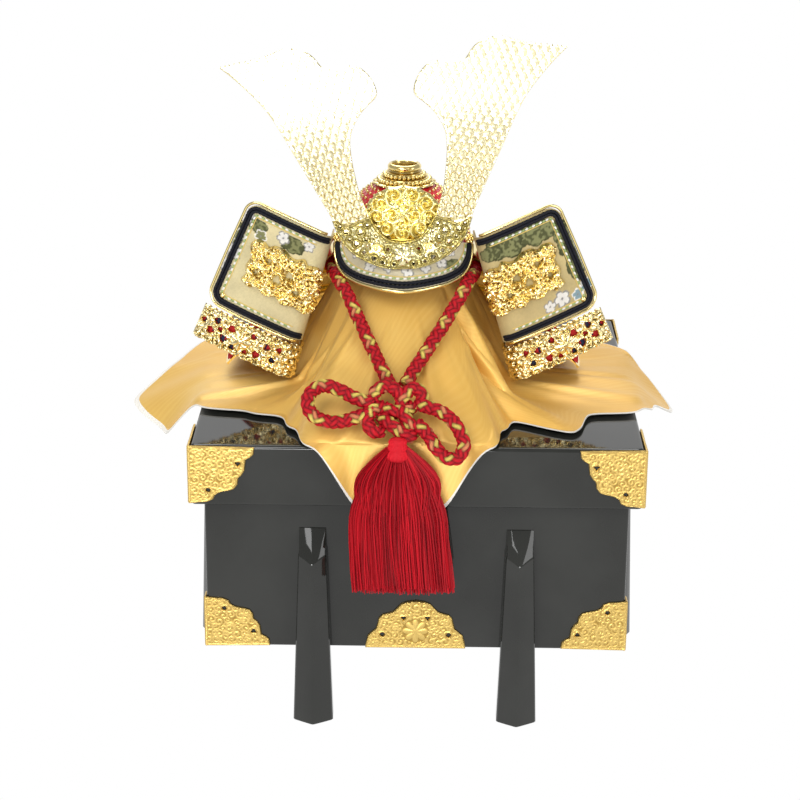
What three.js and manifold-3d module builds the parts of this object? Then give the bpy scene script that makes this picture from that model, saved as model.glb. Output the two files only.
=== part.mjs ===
// Samurai helmet (kabuto) on its lacquered chest, with the gold cloth that it stands on.
// Millimetres, +Z up, front towards -Y. The origin is on the floor, under the helmet's axis.
import * as THREE from 'three';
import Module from 'manifold-3d';
import { mergeVertices } from 'three/addons/utils/BufferGeometryUtils.js';
import { ConvexGeometry } from 'three/addons/geometries/ConvexGeometry.js';

const wasm = await Module();
wasm.setup();

// Clearances and sheet thicknesses
const GAP = 0.35;
const FITTING_SHEET = 1.2;
const PLATE = 1.2;
const CLOTH = 1.2;

// Chest: a box on six legs under a cap lid
const CHEST_X = 12;
const LID_WIDTH = 320;
const LID_DEPTH = 300;
const LID_SKIRT = 45;
const LID_TOP = 214;
const LID_WALL = 8;
const LID_PLAY = 0.5;
const BODY_BOTTOM = 54.5;
const BODY_WALL = 8;
const LEG_SPREAD = 74.3;
const LEG_FOOT_WIDTH = 29;
const LEG_TOP_WIDTH = 20;
const LEG_FOOT_DEPTH = 19;
const LEG_TOP_DEPTH = 14.5;
const LEG_SIDE_SHARE = 0.58;
const LEG_HEIGHT = 148.5;
const LEG_SHOULDER = 132;
const LEG_CHEVRON = 5;
const LID_FITTING = [46, 43.5];
const BODY_FITTING = [46, 39];
const CENTRE_FITTING = [73, 38];
const FITTING_HOLE = 1.9;

// Bowl of the helmet; its rim sets the height of all that the helmet carries
const RIM_OVER_LID = 104;
const BOWL_RIM = LID_TOP + RIM_OVER_LID;
const BOWL_HALF_WIDTH = 50;
const BOWL_HALF_DEPTH = 55;
const BOWL_HEIGHT = 53;
const BOWL_WALL = 1.6;
const BOWL_STEPS = 7;
const FINIAL_RADIUS = 22.8;
const FINIAL_HEIGHT = 19;

// Stand: a round block with a post, both under the cloth
const STAND_DROP = 18;
const STAND_TOP = BOWL_RIM - STAND_DROP;
const STAND_RADIUS = 45;
const POST_RADIUS = 12;

// Visor: an apron in front of the bowl
const VISOR_HALF = BOWL_HALF_WIDTH - 0.5;
const VISOR_BACK = -34;
const VISOR_REACH = 40;
const VISOR_TOP = BOWL_RIM + 13;
const VISOR_DROP = 25;
const VISOR_TURN = 50;
const VISOR_CORD_AT = 0.90;

// Crest: crescent base, two blades, medallion and studs
const CREST_Y = -63;
const CREST_Z = BOWL_RIM + 22;
const CREST_LEAN = 5;
const BASE_ROLL = 2.3;
const BASE_HALF = 50.5;
const BASE_DROP = 21;
const BASE_RISE = 18;
const BASE_SHEET = 1.5;
const BLADE_ROLL = 4;
const BLADE_PIVOT = 15;
const BLADE_REACH = 123.5;
const BLADE_HEIGHT = 126.5;
const BLADE_SHEET = 1.3;
const MEDALLION = [27, 20];
const MEDALLION_DEPTH = 6.5;
const MEDALLION_SETBACK = 3.4;
const STUD_RADIUS = 3.6;
const STUD_SPREAD = 19.5;

// Turned-back side panels
const PANEL_TILT = 23.8;
const PANEL_CORNER = [BOWL_HALF_WIDTH + 25.6, BOWL_RIM - 61.3];
const PANEL_WIDTH = 75;
const PANEL_TAPER = 10.8;
const PANEL_HEIGHT = 82.5;
const PANEL_FRONT = -46;
const PANEL_SETBACK = 12;
const PANEL_BEND = 9;
const PANEL_LEG = 17;
const PANEL_CORNER_RADIUS = 10;
const RIM_CORD = 1.8;
const RIM_WIRE = 1.1;
const BAND_HEIGHT = 27;
const BAND_SHEET = 1.4;
const ORNAMENT = [56, 38];
const ORNAMENT_LOW = 22.5;
const ORNAMENT_RISE = 3.2;

// Neck guard: lames that spread like an umbrella
const LAMES = 4;
const NECK_TOP = [BOWL_HALF_WIDTH + 1.6, BOWL_RIM + 4];
const NECK_SPREAD = [78, -90];
const NECK_FRONT = -19;
const NECK_STRETCH = 0.982 * BOWL_HALF_DEPTH / BOWL_HALF_WIDTH;
const LAME_LAP = 4.5;
const LAME_RAISE = 2.6;

// Cord, knot and tassel
const CORD_RADIUS = 5;
const TASSEL_TOP = [-1.5, -164.6, -98.2];
const TASSEL_HEIGHT = 108;
const TASSEL_HALF = 37;
const TASSEL_DEPTH = 7.5;

const LACQUER = finish(0x0b0c0b, 0.12, 0);
const GOLD = finish(0xe2b45a, 0.32, 1);
const BRIGHT_GOLD = finish(0xf0c75e, 0.18, 1);
const SATIN = finish(0xeabc74, 0.55, 0);
const RED_LACQUER = finish(0xb01e28, 0.25, 0);
const BROCADE = finish(0xb8ad92, 0.7, 0);
const NAVY = finish(0x20243c, 0.75, 0);
const CRIMSON = finish(0xc01020, 0.7, 0);
const WOOD = finish(0x9c7a50, 0.7, 0);

function finish(color, roughness, metalness) {
  return new THREE.MeshStandardMaterial({ color, roughness, metalness });
}

const object = new THREE.Group();

function add(name, geometry, material, parent = object) {
  const mesh = new THREE.Mesh(geometry, material);
  mesh.name = name;
  parent.add(mesh);
  return mesh;
}

const radians = (degrees) => degrees * Math.PI / 180;
const lerp = (a, b, t) => a + (b - a) * t;
const smooth = (t) => t * t * (3 - 2 * t);
const P = (x, y, z) => new THREE.Vector3(x, y, z);

// A closed body from positions and triangles, with its faces turned outwards
function body(positions, triangles) {
  let volume = 0;
  for (const [a, b, c] of triangles) {
    volume += positions[a].dot(positions[b].clone().cross(positions[c]));
  }
  const order = volume > 0 ? triangles : triangles.map(([a, b, c]) => [a, c, b]);
  const geometry = new THREE.BufferGeometry();
  geometry.setFromPoints(positions);
  geometry.setIndex(order.flat());
  return geometry;
}

// The unit normal of a surface point(u, v) at a place in its unit square
function normalOf(point, u, v) {
  const step = 0.002;
  const du = point(Math.min(u + step, 1), v).sub(point(Math.max(u - step, 0), v));
  const dv = point(u, Math.min(v + step, 1)).sub(point(u, Math.max(v - step, 0)));
  return du.cross(dv).normalize();
}

const offsetPoint = (point, u, v, rise) => point(u, v).addScaledVector(normalOf(point, u, v), rise);

// A sheet between two heights over point(u, v); high may be a function of u and v
function sheet(point, columns, rows, low, high) {
  const rise = typeof high === 'function' ? high : () => high;
  const spots = [];
  for (let j = 0; j <= rows.length - 1; j++) {
    for (let i = 0; i <= columns.length - 1; i++) {
      const u = columns[i];
      const v = rows[j];
      spots.push(offsetPoint(point, u, v, low), offsetPoint(point, u, v, rise(u, v)));
    }
  }
  const n = columns.length;
  const m = rows.length;
  const at = (i, j, side) => 2 * (j * n + i) + side;
  const faces = [];
  const quad = (a, b, c, d) => faces.push([a, b, c], [a, c, d]);
  for (let j = 0; j < m - 1; j++) {
    for (let i = 0; i < n - 1; i++) {
      quad(at(i, j, 1), at(i + 1, j, 1), at(i + 1, j + 1, 1), at(i, j + 1, 1));
      quad(at(i, j, 0), at(i, j + 1, 0), at(i + 1, j + 1, 0), at(i + 1, j, 0));
    }
  }
  for (let i = 0; i < n - 1; i++) {
    quad(at(i, 0, 0), at(i + 1, 0, 0), at(i + 1, 0, 1), at(i, 0, 1));
    quad(at(i, m - 1, 1), at(i + 1, m - 1, 1), at(i + 1, m - 1, 0), at(i, m - 1, 0));
  }
  for (let j = 0; j < m - 1; j++) {
    quad(at(0, j, 1), at(0, j + 1, 1), at(0, j + 1, 0), at(0, j, 0));
    quad(at(n - 1, j, 0), at(n - 1, j + 1, 0), at(n - 1, j + 1, 1), at(n - 1, j, 1));
  }
  return body(spots, faces);
}

const steps = (count) => Array.from({ length: count + 1 }, (_, i) => i / count);

// A body between two skins that run round a pole: lower(a, t) and upper(a, t), t = 0 at the pole
function roundSheet(lower, upper, around, out) {
  const spots = [lower(0, 0), upper(0, 0)];
  const ring = (j, i, side) => 2 + 2 * ((j - 1) * around + (i % around)) + side;
  for (let j = 1; j < out.length; j++) {
    for (let i = 0; i < around; i++) {
      spots.push(lower(i / around, out[j]), upper(i / around, out[j]));
    }
  }
  const faces = [];
  for (let i = 0; i < around; i++) {
    faces.push([1, ring(1, i, 1), ring(1, i + 1, 1)], [0, ring(1, i + 1, 0), ring(1, i, 0)]);
    for (let j = 1; j < out.length - 1; j++) {
      const [a, b, c, d] = [ring(j, i, 1), ring(j + 1, i, 1), ring(j + 1, i + 1, 1), ring(j, i + 1, 1)];
      faces.push([a, b, c], [a, c, d]);
      faces.push([a - 1, c - 1, b - 1], [a - 1, d - 1, c - 1]);
    }
    const last = out.length - 1;
    const [a, b] = [ring(last, i, 1), ring(last, i + 1, 1)];
    faces.push([a, a - 1, b], [b, a - 1, b - 1]);
  }
  return body(spots, faces);
}

// A round tube along a smooth curve through the points
function tube(points, radius, sides, count) {
  const section = new THREE.Shape();
  for (let k = 0; k < sides; k++) {
    const angle = 2 * Math.PI * k / sides;
    section[k ? 'lineTo' : 'moveTo'](radius * Math.cos(angle), radius * Math.sin(angle));
  }
  const curve = new THREE.CatmullRomCurve3(points, false, 'centripetal');
  return new THREE.ExtrudeGeometry(section, { steps: count, extrudePath: curve, bevelEnabled: false });
}

function solid(geometry) {
  const bare = geometry.clone();
  bare.deleteAttribute('normal');
  bare.deleteAttribute('uv');
  const merged = mergeVertices(bare, 1e-4);
  return new wasm.Manifold(new wasm.Mesh({
    numProp: 3,
    vertProperties: new Float32Array(merged.attributes.position.array),
    triVerts: new Uint32Array(merged.index.array),
  }));
}

function unsolid(shape) {
  const mesh = shape.getMesh();
  const geometry = new THREE.BufferGeometry();
  geometry.setAttribute('position', new THREE.BufferAttribute(mesh.vertProperties, 3));
  geometry.setIndex(new THREE.BufferAttribute(mesh.triVerts, 1));
  return geometry;
}

const join = (first, ...rest) => unsolid(rest.reduce((a, b) => a.add(solid(b)), solid(first)));
const cut = (first, ...rest) => unsolid(rest.reduce((a, b) => a.subtract(solid(b)), solid(first)));

function block(low, high) {
  const size = high.map((v, k) => v - low[k]);
  const geometry = new THREE.BoxGeometry(...size);
  return geometry.translate(...low.map((v, k) => v + size[k] / 2));
}

const mirrored = (geometry) => {
  const copy = geometry.clone();
  copy.scale(-1, 1, 1);
  const index = copy.index ? Array.from(copy.index.array) : null;
  if (index) {
    for (let k = 0; k < index.length; k += 3) [index[k + 1], index[k + 2]] = [index[k + 2], index[k + 1]];
    copy.setIndex(index);
  } else {
    const spots = copy.attributes.position;
    for (let k = 0; k < spots.count; k += 3) {
      const [b, c] = [1, 2].map((n) => new THREE.Vector3().fromBufferAttribute(spots, k + n));
      spots.setXYZ(k + 1, c.x, c.y, c.z);
      spots.setXYZ(k + 2, b.x, b.y, b.z);
    }
  }
  return copy;
};

// Chest

const INSET = LID_WALL + LID_PLAY;
const BODY_TOP = LID_TOP - LID_WALL - GAP;
const BODY_HALF = [LID_WIDTH / 2 - INSET, LID_DEPTH / 2 - INSET];

function addChest() {
  const [w, d] = BODY_HALF;
  const outer = block([-w, -d, BODY_BOTTOM], [w, d, BODY_TOP]);
  const inner = block([-w + BODY_WALL, -d + BODY_WALL, BODY_BOTTOM + BODY_WALL],
    [w - BODY_WALL, d - BODY_WALL, LID_TOP]);
  const [lw, ld] = [LID_WIDTH / 2, LID_DEPTH / 2];
  const cap = block([-lw, -ld, LID_TOP - LID_SKIRT], [lw, ld, LID_TOP]);
  const under = block([-lw + LID_WALL, -ld + LID_WALL, 0],
    [lw - LID_WALL, ld - LID_WALL, LID_TOP - LID_WALL]);
  const chest = new THREE.Group();
  chest.position.x = CHEST_X;
  object.add(chest);
  add('chest_body', cut(outer, inner), LACQUER, chest);
  add('chest_lid', cut(cap, under), LACQUER, chest);
  addLegs(chest);
  addFittings(chest);
}

// A leg against the plane y = 0, ridged down its face, with a sloped top
function legGeometry() {
  const [foot, top] = [LEG_FOOT_WIDTH / 2, LEG_TOP_WIDTH / 2];
  const spots = [
    P(-foot, 0, 0), P(foot, 0, 0), P(0, -LEG_FOOT_DEPTH, 0),
    P(-foot, -LEG_FOOT_DEPTH * LEG_SIDE_SHARE, 0), P(foot, -LEG_FOOT_DEPTH * LEG_SIDE_SHARE, 0),
    P(-top, -LEG_TOP_DEPTH * LEG_SIDE_SHARE, LEG_SHOULDER),
    P(top, -LEG_TOP_DEPTH * LEG_SIDE_SHARE, LEG_SHOULDER),
    P(0, -LEG_TOP_DEPTH, LEG_SHOULDER - LEG_CHEVRON),
    P(-top, 0, LEG_HEIGHT), P(top, 0, LEG_HEIGHT),
  ];
  return new ConvexGeometry(spots);
}

function addLegs(chest) {
  const [w, d] = [BODY_HALF[0] + GAP, BODY_HALF[1] + GAP];
  const places = [
    ['leg_front_left', -LEG_SPREAD, -d, 0], ['leg_front_right', LEG_SPREAD, -d, 0],
    ['leg_back_left', -LEG_SPREAD, d, 180], ['leg_back_right', LEG_SPREAD, d, 180],
    ['leg_left', -w, 0, -90], ['leg_right', w, 0, 90],
  ];
  for (const [name, x, y, turn] of places) {
    const leg = add(name, legGeometry(), LACQUER, chest);
    leg.position.set(x, y, 0);
    leg.rotation.z = radians(turn);
  }
}

// Lobed inner edge of a corner fitting, as shares of its width and height from the corner
const FITTING_LOBES = [
  { across: 0.98, down: 0.19 }, { across: 0.84, down: 0.35 }, { across: 0.82, down: 0.45 },
  { across: 0.71, down: 0.69 }, { across: 0.53, down: 0.80 }, { across: 0.41, down: 0.82 },
  { across: 0.22, down: 0.98 },
];
const FITTING_HOLES = [{ across: 0.74, down: 0.30 }, { across: 0.28, down: 0.77 }];

function roundHole(x, y) {
  const hole = new THREE.Path();
  for (let k = 0; k < 4; k++) {
    const angle = Math.PI * k / 2;
    hole[k ? 'lineTo' : 'moveTo'](x + FITTING_HOLE * Math.cos(angle), y + FITTING_HOLE * Math.sin(angle));
  }
  return hole;
}

// One leaf of a corner fitting in the XZ plane, corner at the origin, spreading to +x and -z
function leaf(width, height) {
  const shape = new THREE.Shape();
  shape.moveTo(0, 0);
  shape.lineTo(width, 0);
  for (const { across, down } of FITTING_LOBES) shape.lineTo(across * width, -down * height);
  shape.lineTo(0, -height);
  for (const { across, down } of FITTING_HOLES) shape.holes.push(roundHole(across * width, -down * height));
  const plate = new THREE.ExtrudeGeometry(shape, { depth: FITTING_SHEET, bevelEnabled: false });
  return plate.rotateX(Math.PI / 2);
}

// A fitting that wraps the corner at the origin, with its leaves in front of y = 0 and left of x = 0
function cornerFitting(width, height) {
  const front = leaf(width, height).translate(-FITTING_SHEET, 0, 0);
  const side = mirrored(leaf(width, height)).rotateZ(-Math.PI / 2).translate(0, -FITTING_SHEET, 0);
  return join(front, side);
}

function addFittings(chest) {
  const corners = [
    { name: 'front_left', sx: -1, sy: -1, turn: 0 }, { name: 'front_right', sx: 1, sy: -1, turn: 90 },
    { name: 'back_right', sx: 1, sy: 1, turn: 180 }, { name: 'back_left', sx: -1, sy: 1, turn: 270 },
  ];
  const lid = cornerFitting(...LID_FITTING);
  const base = cornerFitting(...BODY_FITTING).scale(1, 1, -1);
  const upturned = new THREE.BufferGeometry().copy(base);
  upturned.setIndex(Array.from(base.index.array).reverse());
  for (const { name, sx, sy, turn } of corners) {
    const place = (mesh, half, z) => {
      mesh.position.set(sx * (half[0] + GAP), sy * (half[1] + GAP), z);
      mesh.rotation.z = radians(turn);
    };
    place(add(`lid_fitting_${name}`, lid, GOLD, chest), [LID_WIDTH / 2, LID_DEPTH / 2], LID_TOP);
    place(add(`body_fitting_${name}`, upturned, GOLD, chest), BODY_HALF, BODY_BOTTOM);
  }
  addCentreFitting(chest);
}

// Half outline of the centre fitting, as shares of its half width and height
const CENTRE_LOBES = [
  { across: 1, up: 0 }, { across: 0.97, up: 0.26 }, { across: 0.78, up: 0.42 }, { across: 0.72, up: 0.66 },
  { across: 0.48, up: 0.76 }, { across: 0.26, up: 0.96 }, { across: 0, up: 1 },
];

function addCentreFitting(chest) {
  const half = CENTRE_FITTING[0] / 2;
  const height = CENTRE_FITTING[1];
  const shape = new THREE.Shape();
  shape.moveTo(-half, 0);
  for (const { across, up } of CENTRE_LOBES) shape.lineTo(across * half, up * height);
  for (const { across, up } of [...CENTRE_LOBES].reverse().slice(1, -1)) {
    shape.lineTo(-across * half, up * height);
  }
  for (const [across, up] of [[0.66, 0.28], [-0.66, 0.28], [0.24, 0.64], [-0.24, 0.64]]) {
    shape.holes.push(roundHole(across * half, up * height));
  }
  const plate = new THREE.ExtrudeGeometry(shape, { depth: FITTING_SHEET, bevelEnabled: false });
  plate.rotateX(Math.PI / 2);
  const mesh = add('body_fitting_front_centre', plate, GOLD, chest);
  mesh.position.set(0, -BODY_HALF[1] - GAP, BODY_BOTTOM);
}

// Stand and cloth

const POST_FLAT = POST_RADIUS + 2;
const BOWL_SEAT = Math.sqrt(1 - (POST_FLAT / (BOWL_HALF_WIDTH - BOWL_WALL)) ** 2);
const CLOTH_TOP = BOWL_RIM + (BOWL_HEIGHT - BOWL_WALL) * BOWL_SEAT - 2 * GAP;
const STAND_PEAK = CLOTH_TOP - CLOTH - GAP;

function addStand() {
  const profile = [[0, LID_TOP + GAP], [STAND_RADIUS, LID_TOP + GAP], [STAND_RADIUS, STAND_TOP],
    [POST_RADIUS, STAND_TOP], [POST_RADIUS, STAND_PEAK], [0, STAND_PEAK]];
  const post = new THREE.LatheGeometry(profile.map(([r, z]) => new THREE.Vector2(r, z)), 16);
  add('helmet_stand', post.rotateX(Math.PI / 2), WOOD);
}

// The cloth's folds, one row a fold, turning from the front towards +x.
// Lengths are shares: reach of the shoulder and the hem of CLOTH_REACH, rise of both of CLOTH_RISE,
// which is the height of the stand over the lid.
const CLOTH_REACH = 207;
const CLOTH_RISE = STAND_TOP - LID_TOP;
const FOLDS = [
  { turn: 0, shoulder: 0.725, lift: 0.040, hem: 0.762, rise: -0.98 },
  { turn: 10, shoulder: 0.736, lift: 0.040, hem: 0.770, rise: -0.53 },
  { turn: 22, shoulder: 0.780, lift: 0.040, hem: 0.815, rise: 0.025 },
  { turn: 31, shoulder: 0.560, lift: 0.30, hem: 0.690, rise: 0.035 },
  { turn: 38, shoulder: 0.400, lift: 0.34, hem: 0.640, rise: 0.030 },
  { turn: 45, shoulder: 0.540, lift: 0.16, hem: 0.850, rise: 0.030 },
  { turn: 57, shoulder: 0.400, lift: 0.07, hem: 0.790, rise: 0.030 },
  { turn: 66, shoulder: 0.400, lift: 0.09, hem: 0.925, rise: 0.030 },
  { turn: 78, shoulder: 0.420, lift: 0.07, hem: 0.930, rise: -0.10 },
  { turn: 90, shoulder: 0.440, lift: 0.11, hem: 1.000, rise: -0.30 },
  { turn: 101, shoulder: 0.440, lift: 0.07, hem: 0.920, rise: -0.08 },
  { turn: 108, shoulder: 0.420, lift: 0.12, hem: 0.900, rise: 0.030 },
  { turn: 120, shoulder: 0.420, lift: 0.07, hem: 0.840, rise: 0.030 },
  { turn: 134, shoulder: 0.420, lift: 0.12, hem: 0.720, rise: 0.030 },
  { turn: 157, shoulder: 0.600, lift: 0.080, hem: 0.815, rise: 0.025 },
  { turn: 180, shoulder: 0.600, lift: 0.080, hem: 0.762, rise: -0.70 },
  { turn: 203, shoulder: 0.600, lift: 0.080, hem: 0.815, rise: 0.025 },
  { turn: 226, shoulder: 0.420, lift: 0.12, hem: 0.720, rise: 0.030 },
  { turn: 244, shoulder: 0.420, lift: 0.07, hem: 0.860, rise: 0.010 },
  { turn: 259, shoulder: 0.440, lift: 0.12, hem: 0.890, rise: -0.06 },
  { turn: 270, shoulder: 0.440, lift: 0.07, hem: 1.000, rise: -0.26 },
  { turn: 285, shoulder: 0.420, lift: 0.10, hem: 0.890, rise: -0.36 },
  { turn: 297, shoulder: 0.400, lift: 0.07, hem: 0.815, rise: 0.030 },
  { turn: 309, shoulder: 0.440, lift: 0.12, hem: 0.690, rise: 0.030 },
  { turn: 319, shoulder: 0.400, lift: 0.36, hem: 0.638, rise: 0.030 },
  { turn: 328, shoulder: 0.560, lift: 0.30, hem: 0.700, rise: 0.035 },
  { turn: 338, shoulder: 0.780, lift: 0.040, hem: 0.815, rise: 0.025 },
  { turn: 350, shoulder: 0.736, lift: 0.040, hem: 0.770, rise: -0.53 },
];

// A fold between two rows, blended smoothly; share runs from 0 to 1 once round the cloth
function foldAt(share) {
  const place = share * FOLDS.length;
  const k = Math.floor(place) % FOLDS.length;
  const [from, to] = [FOLDS[k], FOLDS[(k + 1) % FOLDS.length]];
  const blend = place - Math.floor(place);
  const row = {};
  for (const key of Object.keys(from)) {
    const end = key === 'turn' && to.turn < from.turn ? to.turn + 360 : to[key];
    row[key] = lerp(from[key], end, key === 'turn' ? blend : smooth(blend));
  }
  return row;
}

// The cloth's run from the post's top (t = 0) down the tent, over the stand's rim to the hem (t = 1)
const TENT_END = 0.34;
const SHOULDER_END = 0.74;
const RIM_RISE = 1.4;
const CLOTH_REST = 2.4;
const HANG_CLEARANCE = 4;

// Distance from the helmet's axis to the lid's edge in a direction turned from the front
function lidEdge(angle) {
  const side = LID_WIDTH / 2 + Math.sign(Math.sin(angle)) * CHEST_X;
  const across = side / Math.max(Math.abs(Math.sin(angle)), 1e-6);
  const along = LID_DEPTH / 2 / Math.max(Math.abs(Math.cos(angle)), 1e-6);
  return Math.min(across, along);
}

function clothPoint(share, t, lift) {
  const fold = foldAt(share);
  const angle = radians(fold.turn);
  const rim = STAND_RADIUS + RIM_RISE;
  const rimZ = STAND_TOP + GAP + RIM_RISE / 2;
  const shoulder = [fold.shoulder * CLOTH_REACH, LID_TOP + fold.lift * CLOTH_RISE];
  const beyond = fold.rise < 0 ? lidEdge(angle) + HANG_CLEARANCE : 0;
  const hem = [Math.max(fold.hem * CLOTH_REACH, beyond), LID_TOP + fold.rise * CLOTH_RISE];
  let r;
  let z;
  if (t <= TENT_END) {
    const k = t / TENT_END;
    r = k < 0.3 ? POST_FLAT * k / 0.3 : lerp(POST_FLAT, rim, (k - 0.3) / 0.7);
    z = k < 0.3 ? STAND_PEAK + GAP : lerp(STAND_PEAK + GAP, rimZ, 1 - Math.pow(1 - (k - 0.3) / 0.7, 1.7));
  } else if (t <= SHOULDER_END) {
    const k = (t - TENT_END) / (SHOULDER_END - TENT_END);
    r = lerp(rim, shoulder[0], k);
    z = lerp(rimZ, shoulder[1], k);
  } else {
    const k = (t - SHOULDER_END) / (1 - SHOULDER_END) * 2;
    const turnDown = [Math.min(lidEdge(angle) + 1.5, lerp(shoulder[0], hem[0], 0.9)), LID_TOP + CLOTH_REST];
    const [from, to] = k <= 1 ? [shoulder, turnDown] : [turnDown, hem];
    r = lerp(from[0], to[0], k <= 1 ? k : k - 1);
    z = lerp(from[1], to[1], k <= 1 ? k : k - 1);
  }
  const slope = t <= TENT_END * 0.3 ? 0 : 0.6;
  return P((r + lift * slope) * Math.sin(angle), -(r + lift * slope) * Math.cos(angle), z + lift);
}

function addCloth() {
  const out = [0, 0.10, 0.18, TENT_END, 0.54, SHOULDER_END, lerp(SHOULDER_END, 1, 0.5), 1];
  const around = FOLDS.length * 2;
  const lower = (a, t) => clothPoint(a, t, 0);
  const upper = (a, t) => clothPoint(a, t, CLOTH);
  add('gold_cloth', roundSheet(lower, upper, around, out), SATIN);
}

// Bowl, finial and visor

const bowlRise = (share) => BOWL_RIM + BOWL_HEIGHT * Math.sqrt(Math.max(0, 1 - share * share));

function addBowl() {
  const arc = [];
  for (let k = 0; k <= BOWL_STEPS; k++) {
    const angle = Math.PI / 2 * k / BOWL_STEPS;
    arc.push(new THREE.Vector2(BOWL_HALF_WIDTH * Math.cos(angle), BOWL_HEIGHT * Math.sin(angle)));
  }
  const inner = arc.map((p) => new THREE.Vector2(p.x * (1 - BOWL_WALL / BOWL_HALF_WIDTH),
    p.y * (1 - BOWL_WALL / BOWL_HEIGHT)));
  arc[BOWL_STEPS].x = 0;
  inner[BOWL_STEPS].x = 0;
  const shell = new THREE.LatheGeometry([...inner.reverse(), ...arc], 20).rotateX(Math.PI / 2);
  shell.scale(1, BOWL_HALF_DEPTH / BOWL_HALF_WIDTH, 1).translate(0, 0, BOWL_RIM);
  add('bowl', shell, RED_LACQUER);
}

// Tiers of the finial, from its base up, as shares of its radius and height
const FINIAL_TIERS = [
  { radius: 1, height: 0.10 }, { radius: 0.97, height: 0.20 }, { radius: 0.87, height: 0.22 },
  { radius: 0.85, height: 0.36 }, { radius: 0.71, height: 0.40 }, { radius: 0.69, height: 0.56 },
  { radius: 0.50, height: 0.62 }, { radius: 0.52, height: 0.78 }, { radius: 0.42, height: 0.96 },
  { radius: 0.20, height: 1 },
];

function addFinial() {
  const under = [0, 0.35, 0.7, 1].map((share) => {
    const r = share * FINIAL_RADIUS;
    return new THREE.Vector2(r, bowlRise(r / BOWL_HALF_DEPTH) + GAP);
  });
  const base = bowlRise(FINIAL_RADIUS / BOWL_HALF_DEPTH);
  const tiers = FINIAL_TIERS.map(({ radius, height }) =>
    new THREE.Vector2(radius * FINIAL_RADIUS, base + height * FINIAL_HEIGHT));
  const top = new THREE.Vector2(0, base + FINIAL_HEIGHT);
  const finial = new THREE.LatheGeometry([...under, ...tiers, top], 18).rotateX(Math.PI / 2);
  add('crown_finial', finial, BRIGHT_GOLD);
}

// Half of the visor's rim from the middle out, as shares of its half width, reach and drop
const VISOR_RIM = [
  { across: 0, forward: 1, drop: 1 }, { across: 0.24, forward: 0.94, drop: 0.98 },
  { across: 0.46, forward: 0.80, drop: 0.95 }, { across: 0.70, forward: 0.58, drop: 0.90 },
  { across: 0.90, forward: 0.32, drop: 0.74 }, { across: 0.99, forward: 0.12, drop: 0.42 },
  { across: 1, forward: 0, drop: 0 },
];

function visorSpot({ across, forward, drop }, side) {
  return P(side * across * VISOR_HALF, VISOR_BACK - forward * VISOR_REACH, VISOR_TOP - drop * VISOR_DROP);
}

const visorLeft = [...VISOR_RIM].reverse().slice(0, -1).map((row) => visorSpot(row, -1));
const visorRight = VISOR_RIM.map((row) => visorSpot(row, 1));
const visorCurve = new THREE.CatmullRomCurve3([...visorLeft, ...visorRight], false, 'centripetal');

// The visor's surface: u runs across it from -x to +x, v from the bowl to the rim
function visorPoint(u, v) {
  const turn = radians(VISOR_TURN * (2 * u - 1));
  const share = Math.sqrt(1 - ((VISOR_TOP - BOWL_RIM) / BOWL_HEIGHT) ** 2);
  const hug = share + 4 * GAP / BOWL_HALF_WIDTH;
  const root = P(BOWL_HALF_WIDTH * hug * Math.sin(turn), -BOWL_HALF_DEPTH * hug * Math.cos(turn), VISOR_TOP);
  return root.lerp(visorCurve.getPoint(u), v);
}

function addVisor() {
  add('visor', sheet(visorPoint, steps(18), steps(2), 0, PLATE), BROCADE);
  // The surface's normal points down and back, so the cord on the outer face lies on its other side
  const cord = steps(20).map((u) => offsetPoint(visorPoint, u, VISOR_CORD_AT, -(2 * GAP + RIM_CORD)));
  add('visor_cord_rim', tube(cord, RIM_CORD, 5, 20), NAVY);
  const wire = steps(20).map((u) => {
    const edge = visorPoint(u, 1);
    const out = edge.clone().sub(visorPoint(u, 0.96)).normalize();
    return edge.addScaledVector(out, GAP + RIM_WIRE).addScaledVector(normalOf(visorPoint, u, 1), PLATE / 2);
  });
  add('visor_gold_rim', tube(wire, RIM_WIRE, 5, 20), BRIGHT_GOLD);
}

// Crest

// The crescent's outer and inner edges from the bottom up, as shares of its half width and of
// its drop below and rise above the crest's centre
const BASE_OUTER = [
  { across: 0, up: -1 }, { across: 0.30, up: -0.93 }, { across: 0.64, up: -0.56 },
  { across: 0.87, up: 0.0 }, { across: 1, up: 0.88 },
];
const BASE_INNER = [
  { across: 0.76, up: 0.66 }, { across: 0.66, up: 0.82 }, { across: 0.47, up: 1 },
  { across: 0.36, up: 0.50 }, { across: 0.19, up: 0.06 }, { across: 0, up: 0.0 },
];
const BASE_PIERCINGS = [
  { across: 0.80, up: 0.46, radius: 2.6 }, { across: 0.60, up: 0.40, radius: 2.6 },
  { across: 0.66, up: -0.05, radius: 2.4 }, { across: 0.42, up: -0.58, radius: 2.2 },
];

const baseUp = (up) => up * (up < 0 ? BASE_DROP : BASE_RISE);

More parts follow.
